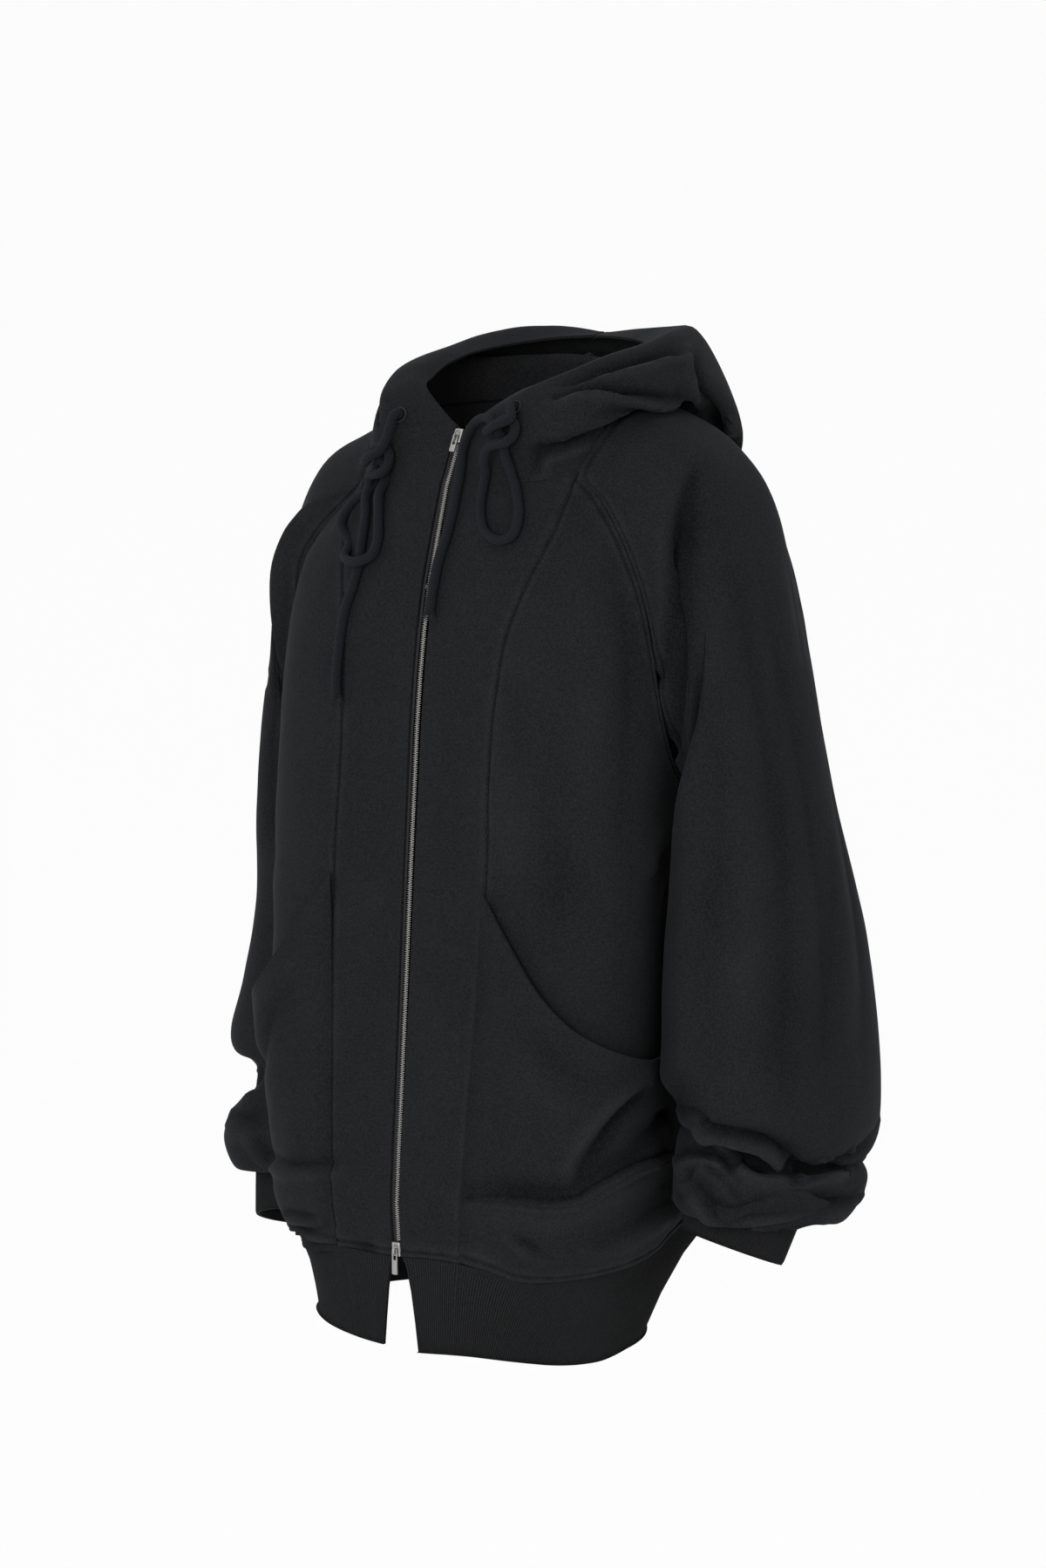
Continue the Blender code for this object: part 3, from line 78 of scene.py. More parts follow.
class RibSettings(bpy.types.PropertyGroup):
    wall: FloatProperty(name="Wall", description="Thickness of the doubled rib",
                        default=0.0026, unit="LENGTH")
    hem_pitch: FloatProperty(name="Hem pitch", description="Width of one rib of the hem",
                             default=0.0021, unit="LENGTH")
    cuff_pitch: FloatProperty(name="Cuff pitch", description="Width of one rib of a cuff",
                              default=0.0019, unit="LENGTH")
    height: FloatProperty(name="Height", description="How far each rib stands out",
                          default=0.0006, unit="LENGTH")
    # the rib knit's colour is set darker than the jersey's as painted shade for the downward-facing
    # hem; the cuffs share it
    colour: FloatVectorProperty(name="Colour", description="Charcoal of the rib knit",
                                subtype="COLOR", size=3, default=(0.0088, 0.0091, 0.0096))


class StitchSettings(bpy.types.PropertyGroup):
    length: FloatProperty(name="Length", description="Length of one stitch",
                          default=0.0030, unit="LENGTH")
    pitch: FloatProperty(name="Pitch", description="Distance from stitch to stitch",
                         default=0.0036, unit="LENGTH")
    thread: FloatProperty(name="Thread", description="Thickness of the sewing thread",
                          default=0.0004, unit="LENGTH")
    colour: FloatVectorProperty(name="Colour", description="Colour of the sewing thread",
                                subtype="COLOR", size=3, default=(0.0125, 0.013, 0.014))


class ZipSettings(bpy.types.PropertyGroup):
    tooth_pitch: FloatProperty(name="Tooth pitch", description="Distance from tooth to tooth",
                               default=0.0009, unit="LENGTH")
    tooth_width: FloatProperty(name="Tooth width", description="Width of one tooth",
                               default=0.0031, unit="LENGTH")
    colour: FloatVectorProperty(name="Colour", description="Nickel of the zip",
                                subtype="COLOR", size=3, default=(0.36, 0.355, 0.345))
    tape_colour: FloatVectorProperty(name="Tape colour", description="Colour of the zip's tape",
                                     subtype="COLOR", size=3, default=(0.026, 0.026, 0.028))


class CordSettings(bpy.types.PropertyGroup):
    diameter: FloatProperty(name="Diameter", description="Thickness of the braided cord",
                            default=0.0080, unit="LENGTH")
    strands: IntProperty(name="Strands", description="Strands seen round the braid",
                         default=12, min=8, max=32)
    relief: FloatProperty(name="Relief", description="How far the strands stand out",
                          default=0.00012, unit="LENGTH")
    colour: FloatVectorProperty(name="Colour", description="Colour of the drawcord",
                                subtype="COLOR", size=3, default=(0.0112, 0.0124, 0.0150))


class StageSettings(bpy.types.PropertyGroup):
    azimuth: FloatProperty(name="Azimuth", description="Angle of the camera round the garment",
                           default=math.radians(37), subtype="ANGLE")
    elevation: FloatProperty(name="Elevation", description="Height angle of the camera",
                             default=math.radians(10), subtype="ANGLE")
    distance: FloatProperty(name="Distance", description="Distance of the camera",
                            default=7.0, unit="LENGTH")
    view_height: FloatProperty(name="View height", description="Height that the picture takes in",
                               default=1.277, unit="LENGTH")
    floor: FloatProperty(name="Floor", description="Height of the floor",
                         default=-3.0, unit="LENGTH")


SETTINGS = {
    "hoodie_jersey": JerseySettings,
    "hoodie_rib": RibSettings,
    "hoodie_stitch": StitchSettings,
    "hoodie_zip": ZipSettings,
    "hoodie_cord": CordSettings,
    "hoodie_stage": StageSettings,
}


# ---------------------------------------------------------------- the view
VIEW_TARGET = Vector((0, 0, -0.347))
VIEW_SHIFT = 0.0035       # how far the picture's middle lies to the right of the target


def view_axes(azimuth, elevation):
    """Right, up and back directions of a view."""
    right = Vector((math.cos(azimuth), math.sin(azimuth), 0))
    back = Vector((math.sin(azimuth) * math.cos(elevation),
                   -math.cos(azimuth) * math.cos(elevation), math.sin(elevation)))
    return right, back.cross(right), back


def view_ray(across, up, azimuth, elevation):
    """Start and direction of the line of sight through a place in a view's plane."""
    stage = bpy.context.scene.hoodie_stage
    right, above, back = view_axes(azimuth, elevation)
    middle = VIEW_TARGET + right * VIEW_SHIFT
    eye = middle + back * stage.distance
    return eye, (middle + right * across + above * up - eye).normalized()


# ---------------------------------------------------------------- materials
def node(tree, kind, inputs=None, **options):
    """New shader node; an input takes a value or another node's output."""
    made = tree.nodes.new(kind)
    for key, value in options.items():
        setattr(made, key, value)
    for key, value in (inputs or {}).items():
        if isinstance(value, bpy.types.NodeSocket):
            tree.links.new(value, made.inputs[key])
        else:
            made.inputs[key].default_value = value
    return made


def maths(tree, operation, *values):
    return node(tree, "ShaderNodeMath", dict(enumerate(values)), operation=operation).outputs[0]


def noise_of(tree, vector, scale, detail, roughness=0.5):
    return node(tree, "ShaderNodeTexNoise", {"Vector": vector, "Scale": scale, "Detail": detail,
                                             "Roughness": roughness}).outputs["Fac"]


def bumped(tree, shader, strength, distance, height):
    """Raise a shader's surface by a height from 0 to 1 times a distance."""
    bump = node(tree, "ShaderNodeBump", {"Strength": strength, "Distance": distance,
                                         "Height": height})
    tree.links.new(bump.outputs[0], shader.inputs["Normal"])


def own_place(tree):
    return node(tree, "ShaderNodeTexCoord").outputs["Object"]


def start_material(name, colour, roughness, **values):
    """Material with its shader's constant values set, and its node tree."""
    made = bpy.data.materials.new(name)
    made.use_nodes = True
    shader = made.node_tree.nodes["Principled BSDF"]
    shader.inputs["Base Color"].default_value = (*colour, 1)
    shader.inputs["Roughness"].default_value = roughness
    for key, value in values.items():
        shader.inputs[key.replace("_", " ")].default_value = value
    return made, made.node_tree, shader


def tint(tree, shader, colour, amount, low, high):
    """Colour that goes from a darker to a lighter shade with an amount from 0 to 1."""
    mixed = node(tree, "ShaderNodeMix", {"Factor": amount}, data_type="RGBA")
    # the mix node keeps its colour sockets after those of its other kinds
    mixed.inputs[6].default_value = (*[c * low for c in colour], 1)
    mixed.inputs[7].default_value = (*[c * high for c in colour], 1)
    tree.links.new(mixed.outputs[2], shader.inputs["Base Color"])


def knit_material(name, colour, wale, relief, painted_light_strength):
    """Knit cloth: fine wales and grain, slow random tone, painted highlight on ridges and painted
    shade in creases.
    """
    made, tree, shader = start_material(name, colour, 0.92, Sheen_Weight=0.02,
                                        Sheen_Roughness=0.45, Specular_IOR_Level=0.05)
    shader.inputs["Sheen Tint"].default_value = (0.80, 0.85, 0.95, 1)
    cloth = node(tree, "ShaderNodeUVMap", uv_map="cloth").outputs[0]
    place = own_place(tree)
    fibres = node(tree, "ShaderNodeMapping", {"Vector": cloth, "Scale": (1 / wale, 0.28 / wale, 1)})
    grain = noise_of(tree, fibres.outputs[0], 1.0, 3.0, 0.65)
    parts = node(tree, "ShaderNodeSeparateXYZ", {"Vector": cloth})
    turns = 2 * math.pi / wale
    wales, courses = [maths(tree, "SINE", maths(tree, "MULTIPLY", part, turns * share))
                      for part, share in zip(parts.outputs, (1, 1.3))]
    loops = maths(tree, "MULTIPLY_ADD", wales, 0.12, 0.5)
    stitches = maths(tree, "MULTIPLY_ADD", courses, 0.06, loops)
    bumped(tree, shader, 0.35, relief, maths(tree, "MULTIPLY_ADD", grain, 0.9, stitches))
    patches = noise_of(tree, place, 16.0, 5.0, 0.6)
    heather = node(tree, "ShaderNodeMapRange", {"Value": noise_of(tree, place, 620.0, 2.0),
                                                "From Min": 0.36, "From Max": 0.64})
    # painted light: the ridge map lightens the colour on raised cloth as painted highlight and
    # darkens it in creases and grooves as painted shade
    painted_relief_shading = node(tree, "ShaderNodeAttribute", attribute_name="ridge").outputs["Fac"]
    worn = maths(tree, "MULTIPLY_ADD", heather.outputs[0], 0.30,
                 maths(tree, "MULTIPLY", patches, 0.22))
    mottled = maths(tree, "MULTIPLY_ADD", grain, 0.2, worn)
    # painted highlight and painted shade from the relief, added to the random tone
    shade = maths(tree, "MULTIPLY_ADD", painted_relief_shading, painted_light_strength, mottled)
    tint(tree, shader, colour, shade, 0.40, 1.85)
    return made


def cord_material(name, colour):
    """Fine braid over the cord's own places: strands pass over and under by turns."""
    made, tree, shader = start_material(name, colour, 0.85, Sheen_Weight=0.02,
                                        Sheen_Roughness=0.40, Specular_IOR_Level=0.08)
    shader.inputs["Sheen Tint"].default_value = (0.75, 0.85, 1.0, 1)
    cloth = node(tree, "ShaderNodeUVMap", uv_map="cloth").outputs[0]
    parts = node(tree, "ShaderNodeSeparateXYZ", {"Vector": cloth})
    ways = [maths(tree, "SINE", maths(tree, "MULTIPLY", maths(tree, how, *parts.outputs[:2]),
                                      math.pi)) for how in ("ADD", "SUBTRACT")]
    over = maths(tree, "GREATER_THAN", maths(tree, "MULTIPLY", *ways), 0.0)
    under = maths(tree, "SUBTRACT", 1.0, over)
    # the crowns of one diagonal and, weaker, of the other where it passes under shape both the bump
    # and the painted light below
    crowns = [maths(tree, "POWER", maths(tree, "ABSOLUTE", way), 2.2) for way in ways]
    crossed = maths(tree, "MULTIPLY", maths(tree, "MULTIPLY", crowns[1], under), 0.45)
    braid = maths(tree, "MULTIPLY_ADD", crowns[0], over, crossed)
    fibres = noise_of(tree, cloth, 5.0, 3.0)
    bumped(tree, shader, 1.0, 0.0010, maths(tree, "MULTIPLY_ADD", fibres, 0.5, braid))
    # painted light: strand crowns get painted highlight, and the gaps between strands and the
    # strands passing under get painted shade, down to 0.12 of the colour
    shade = maths(tree, "MULTIPLY_ADD", fibres, 0.35, maths(tree, "MULTIPLY", braid, 0.7))
    tint(tree, shader, colour, shade, 0.12, 2.0)
    return made


def thread_material(name, colour):
    """Twisted sewing thread."""
    made, tree, shader = start_material(name, colour, 0.7, Specular_IOR_Level=0.15)
    twist = noise_of(tree, own_place(tree), 2500.0, 2.0)
    bumped(tree, shader, 0.4, 0.0002, twist)
    tint(tree, shader, colour, twist, 0.7, 1.3)
    return made


def metal_material(name, colour):
    """Plated metal, brushed fine, a little duller where it is handled."""
    made, tree, shader = start_material(name, colour, 0.28, Metallic=1.0)
    place = own_place(tree)
    streaks = node(tree, "ShaderNodeMapping", {"Vector": place, "Scale": (3000, 3000, 500)})
    smears = noise_of(tree, place, 160.0, 3.0)
    rough = node(tree, "ShaderNodeMapRange", {"Value": smears, "To Min": 0.30, "To Max": 0.50})
    tree.links.new(rough.outputs[0], shader.inputs["Roughness"])
    bumped(tree, shader, 0.25, 0.0001, noise_of(tree, streaks.outputs[0], 1.0, 2.0))
    tint(tree, shader, colour, smears, 0.85, 1.12)
    return made


def tape_material(name, colour):
    """Woven herringbone tape."""
    made, tree, shader = start_material(name, colour, 0.8, Specular_IOR_Level=0.10)
    weave = node(tree, "ShaderNodeTexWave", {"Vector": own_place(tree), "Scale": 260.0,
                                             "Distortion": 1.5},
                 bands_direction="DIAGONAL").outputs["Fac"]
    bumped(tree, shader, 0.5, 0.0003, weave)
    tint(tree, shader, colour, weave, 0.75, 1.3)
    return made


def finish_of(name):
    """The named material, made when it is first asked for."""
    return bpy.data.materials.get(name) or FINISHES[name](name, bpy.context.scene)


FINISHES = {
    # the last number of each knit is how strongly its relief paints highlight and shade into its
    # colour
    "hoodie jersey": lambda name, now: knit_material(
        name, now.hoodie_jersey.colour, now.hoodie_jersey.wale, 0.0006, 0.55),
    "hoodie rib": lambda name, now: knit_material(
        name, now.hoodie_rib.colour, now.hoodie_jersey.wale * 0.8, 0.0004, 0.75),
    "hoodie cord": lambda name, now: cord_material(name, now.hoodie_cord.colour),
    "hoodie cord tuft": lambda name, now: thread_material(name, now.hoodie_cord.colour),
    "hoodie thread": lambda name, now: thread_material(name, now.hoodie_stitch.colour),
    "hoodie nickel": lambda name, now: metal_material(name, now.hoodie_zip.colour),
    "hoodie tape": lambda name, now: tape_material(name, now.hoodie_zip.tape_colour),
}


# ---------------------------------------------------------------- reading the walls
MERGE = 2e-6              # distance under which a wall's loose corners are one point
LEVEL = 4e-6              # how exactly a rim's upright edges have the wall's thickness
CORNER_TURN = 0.75        # cosine below which the rim turns a corner
BODY_MIDDLE = Vector((0, 0.02, -0.2))


def one_skin(node_name, wall, inner):
    """Corners and triangles of a wall's outer or inner skin."""
    bm = bmesh.new()
    bm.from_mesh(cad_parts[node_name].data)
    bmesh.ops.remove_doubles(bm, verts=bm.verts, dist=MERGE)
    uprights = [e for e in bm.edges if abs(e.calc_length() - wall) < LEVEL]
    rims = list({face for edge in uprights for face in edge.link_faces})
    bmesh.ops.delete(bm, geom=rims, context="FACES_ONLY")
    middle = BODY_MIDDLE
    if "sleeve" in node_name:
        middle = sum((v.co for v in bm.verts), Vector()) / len(bm.verts)
    skins = []
    left = set(bm.faces)
    while left:
        start = left.pop()
        skin = {start}
        waiting = [start]
        while waiting:
            near = {f for e in waiting.pop().edges for f in e.link_faces} & left
            left -= near
            skin |= near
            waiting.extend(near)
        skins.append(skin)
    if inner:
        kept = min(skins, key=len)
    else:
        kept = max(skins, key=lambda skin: sum(
            f.calc_area() * f.normal.dot(f.calc_center_median() - middle) for f in skin))
    places = np.array([v.co[:] for v in bm.verts])
    bm.verts.index_update()
    faces = [[v.index for v in (f.verts if not inner else reversed(f.verts))] for f in kept]
    bm.free()
    return places, faces


def next_row(row, first, beyond):
    """Row above a row of a triangulated grid, from its first point on."""
    above = [first]
    for a, b in zip(row, row[1:]):
        corner = beyond.get((a, b))
        if corner == above[-1]:
            corner = beyond.get((corner, b))
        above.append(corner)
    return above


def read_wall(node_name, wall, start, end=None, inner=False):
    """One skin of a wall as rows of points, so that across x up points out of the cloth.

    A panel's first row runs from the corner by start to the corner by end; a tube's first
    row is the ring that passes by start.
    """
    places, faces = one_skin(node_name, wall, inner)
    beyond = {}
    for a, b, c in faces:
        beyond.update({(a, b): c, (b, c): a, (c, a): b})
    after = {a: b for a, b in beyond if (b, a) not in beyond}
    before = {b: a for a, b in after.items()}
    turns = {}
    for corner in after:
        u = places[corner] - places[before[corner]]
        v = places[after[corner]] - places[corner]
        turns[corner] = np.dot(u, v) / (np.linalg.norm(u) * np.linalg.norm(v))
    if end is None:
        sharp = list(after)
    else:
        sharp = [corner for corner in after if turns[corner] < CORNER_TURN]
    row = [min(sharp, key=lambda n: np.linalg.norm(places[n] - start))]
    last = row[0] if end is None else min(sharp, key=lambda n: np.linalg.norm(places[n] - end))
    while len(row) < 2 or row[-1] != last:
        row.append(after[row[-1]])
    rows = [row]
    while (rows[-1][0], rows[-1][1]) in beyond:
        row = rows[-1]
        if end is None:
            corner = beyond[row[0], row[1]]
            tries = [next_row(row, first, beyond) for first in (corner, beyond[row[0], corner])]
            tries = [t for t in tries if None not in t and t[0] == t[-1]]
            rows.append(min(tries, key=lambda t: np.linalg.norm(places[t] - places[row])))
        else:
            rows.append(next_row(row, before[row[0]], beyond))
    points = places[np.array(rows)]
    return points[:, :-1] if end is None else points


# ---------------------------------------------------------------- finer skins
GATHERED = 0.150          # length of cloth above a rib that is full of creases
GATHERED_STEP = 0.62       # its spacing of points, as a share of the rest
EDGE_STEPS = (0.0, 0.0009, 0.0018, 0.0030, 0.0044, 0.0060, 0.0080, 0.0105)
EDGE_SHARE = 0.8          # of the outermost cell that these steps may fill
EDGE_GAP = 0.3            # of a plain step, that the plain steps keep from them
FAR = 1.0                 # further away than anything on the garment


def cubic_table(count, places, ring):
    """Matrix that reads a smooth line through so many points at the given places."""
    table = np.zeros((len(places), count))
    for row, place in zip(table, places):
        cell = min(int(place), count - (1 if ring else 2))
        t = place - cell
        weights = (-0.5 * t ** 3 + t ** 2 - 0.5 * t, 1.5 * t ** 3 - 2.5 * t ** 2 + 1,
                   -1.5 * t ** 3 + 2 * t ** 2 + 0.5 * t, 0.5 * t ** 3 - 0.5 * t ** 2)
        for n, weight in enumerate(weights):
            k = cell - 1 + n
            if ring:
                row[k % count] += weight
            elif k < 0:
                row[0] += 2 * weight
                row[1] -= weight
            elif k > count - 1:
                row[count - 1] += 2 * weight
                row[count - 2] -= weight
            else:
                row[k] += weight
    return table


def fine_places(lengths, step, ring, gathered=0.0):
    """Places along a line of cells: even steps, closer over the gathered length at its start
    and beside a sewn end."""
    found = []
    walked = 0.0
    for cell, length in enumerate(lengths):
        count = max(1, round(length / (step if walked >= gathered else step * GATHERED_STEP)))
        found += [cell + n / count for n in range(count)]
        walked += length
    if ring:
        return found
    last = len(lengths)
    low = [d / lengths[0] for d in EDGE_STEPS if d < EDGE_SHARE * lengths[0]]
    high = [last - d / lengths[-1] for d in EDGE_STEPS if d < EDGE_SHARE * lengths[-1]]
    gap = EDGE_GAP * step
    kept = [p for p in found if low[-1] + gap / lengths[0] < p < high[-1] - gap / lengths[-1]]
    return low + kept + high[::-1]


def closed(rows):
    """Rows of a tube with their first column again at their end."""
    return np.concatenate((rows, rows[:, :1]), axis=1)


def cells_of(points, ring):
    """Lengths of all cells across, and of all cells up."""
    across = np.linalg.norm(np.diff(closed(points) if ring else points, axis=1), axis=2)
    return across, np.linalg.norm(np.diff(points, axis=0), axis=2)


def read_smoothly(points, rows, columns, ring):
    """Coarse points read smoothly at finer places."""
    low = cubic_table(points.shape[0], rows, False)
    side = cubic_table(points.shape[1], columns, ring)
    return np.einsum("rj,jkx,ck->rcx", low, points, side)


def total_of(lengths):
    """Running total of lengths, from 0."""
    return np.concatenate(([0.0], np.cumsum(lengths)))


def walked_along(line):
    """Distance walked along a line at each of its points."""
    return total_of(np.linalg.norm(np.diff(line, axis=0), axis=1))


def cell_at(walked, goal):
    """Cell of a running total that a goal lies in, and the share of it that is passed."""
    i = int(np.clip(np.searchsorted(walked, goal) - 1, 0, len(walked) - 2))
    return i, (goal - walked[i]) / (walked[i + 1] - walked[i])


def at_share(line, i, t):
    return line[i] * (1 - t) + line[i + 1] * t


def noise_at(points, length):
    """Smooth noise with waves of a length, at each point."""
    found = [noise.noise(Vector(p) / length) for p in points.reshape(-1, 3)]
    return np.array(found).reshape(points.shape[:-1])


def normals_of(points, ring):
    """Outward directions of a skin at its points."""
    if ring:
        across = np.roll(points, -1, axis=1) - np.roll(points, 1, axis=1)
    else:
        across = np.gradient(points, axis=1)
    found = np.cross(across, np.gradient(points, axis=0))
    return found / np.maximum(np.linalg.norm(found, axis=2, keepdims=True), 1e-12)


class Skin:
    """A cloth piece as rows of fine points, with its directions and its seams' distances."""

    def __init__(self, node_name, wall, step, start, end=None):
        self.name = node_name
        self.wall = wall
        self.ring = end is None
        self.coarse = read_wall(node_name, wall, start, end)
        across, up = cells_of(self.coarse, self.ring)
        across, up = across.mean(axis=0), up.mean(axis=1)
        self.columns = fine_places(across, step, self.ring)
        self.rows = fine_places(up, step, False, 0.0 if "hood" in node_name else GATHERED)
        self.points = read_smoothly(self.coarse, self.rows, self.columns, self.ring)
        self.normals = normals_of(self.points, self.ring)
        self.rest = self.points.copy()
        # relief map that the knit's colour turns into painted highlight and painted shade
        self.ridge = np.zeros(self.points.shape[:2])
        along = total_of(up)
        self.girth = total_of(across)
        self.up = np.interp(self.rows, range(len(along)), along)
        self.across = np.interp(self.columns, range(len(self.girth)), self.girth)

    def push(self, amount):
        """Move the points along their directions."""
        self.points = self.points + self.normals * amount[:, :, None]

    def meet(self, sides, reach):
        """Move sewn edges on by a reach, so that the cloth meets across its seams."""
        for side, here, beside in (("low", np.s_[0], np.s_[1]), ("high", np.s_[-1], np.s_[-2]),
                                   ("first", np.s_[:, 0], np.s_[:, 1]),
                                   ("last", np.s_[:, -1], np.s_[:, -2])):
            if side in sides:
                step = self.points[here] - self.points[beside]
                step /= np.linalg.norm(step, axis=1, keepdims=True)
                self.points[here] = self.points[here] + step * reach

    def seam_distance(self, sides):
        """Distance of each point from the nearest of the named sides."""
        found = np.full(self.points.shape[:2], FAR)
        up, across = self.up[:, None], self.across[None, :]
        places = {"low": up, "high": up[-1] - up, "first": across,
                  "last": self.across[-1] - across}
        for side in sides:
            found = np.minimum(found, places[side])
        return found


SKINS = {}
WALL_STARTS = {           # each panel's first row runs from one corner to the other
    "centre_front_left": ((0.005, -0.160, -0.710), (0.105, -0.160, -0.710)),
    "side_front_left": ((0.105, -0.160, -0.710), (0.180, 0.030, -0.690)),
    "pocket_left": ((0.105, -0.160, -0.710), (0.180, 0.030, -0.690)),
    "back": ((0.180, 0.030, -0.690), (-0.180, 0.030, -0.720)),
    "side_front_right": ((-0.180, 0.030, -0.720), (-0.105, -0.160, -0.710)),
    "pocket_right": ((-0.180, 0.030, -0.720), (-0.105, -0.160, -0.710)),
    "centre_front_right": ((-0.105, -0.160, -0.710), (-0.005, -0.160, -0.710)),
    "hood_left": ((0.005, -0.098, -0.089), (0.0, 0.092, -0.015)),
    "hood_right": ((0.0, 0.092, -0.015), (-0.005, -0.098, -0.089)),
    "sleeve_left": ((0.190, 0.010, -0.640), None),
    "sleeve_right": ((-0.180, 0.010, -0.680), None),
}
# The sides where a piece is sewn. Plain seams sink in, banded ones are pressed open and
# stitched down on each side, and flat ones hardly show. A right piece mirrors its left one.
SEWN_SIDES = {
    "centre_front": (("last",), ("low",), ("high",)),
    "side_front": (("first", "last"), ("low", "high"), ()),
    "pocket": (("last",), ("low",), ("first",)),
    "back": (("first", "last"), ("low", "high"), ()),
    "hood": (("last",), (), ("low",)),
    "sleeve": ((), ("low", "high"), ()),
}
MIRRORED = {"first": "last", "last": "first", "low": "low", "high": "high"}
BAND_STITCH = 0.0044      # the stitch line's distance from a banded seam
FULL_PAINTED_LIGHT_RELIEF = 0.005       # relief that takes a ridge to its full painted highlight and a trough to its full painted shade
PUCKER = 0.0007           # height of the puckers beside seams
PUCKER_LENGTH = 0.011
# Reliefs beside a seam: height, or share of a height, distance from the seam, half width.
PLAIN_RELIEFS = ((0.0004, 0.0045, 0.0025),)
PLAIN_GROOVE = ((1, 0, 0.0016),)
BAND_RELIEFS = ((0.0006, 0.0018, 0.0014), (-0.0009, BAND_STITCH, 0.0011),
                (0.0006, 0.0080, 0.0026))
PLAIN_PUCKER = ((0.5, 0.005, 0.006),)
BAND_PUCKER = ((1, 0.006, 0.006),)
SEAM_REACH = 0.00013      # how far a sewn edge is moved on to meet the next piece
POCKET_REACH = 1.6        # the same of a pocket, as a multiple
FINER_WAVE = 0.4          # height of the second set of slow waves, as a share of the first
FINER_LENGTH = 2.3        # how many times shorter they are
COVERED_DIP = 0.3         # dip of a seam that a pocket covers, as a share of the rest
CREASE_PAINTED_LIGHT = 0.5        # how much of the painted highlight and painted shade comes from creases
SEAM_PAINTED_LIGHT = 0.4          # and from seams: pale ridges partly wear, partly painted highlight; grooves painted shade

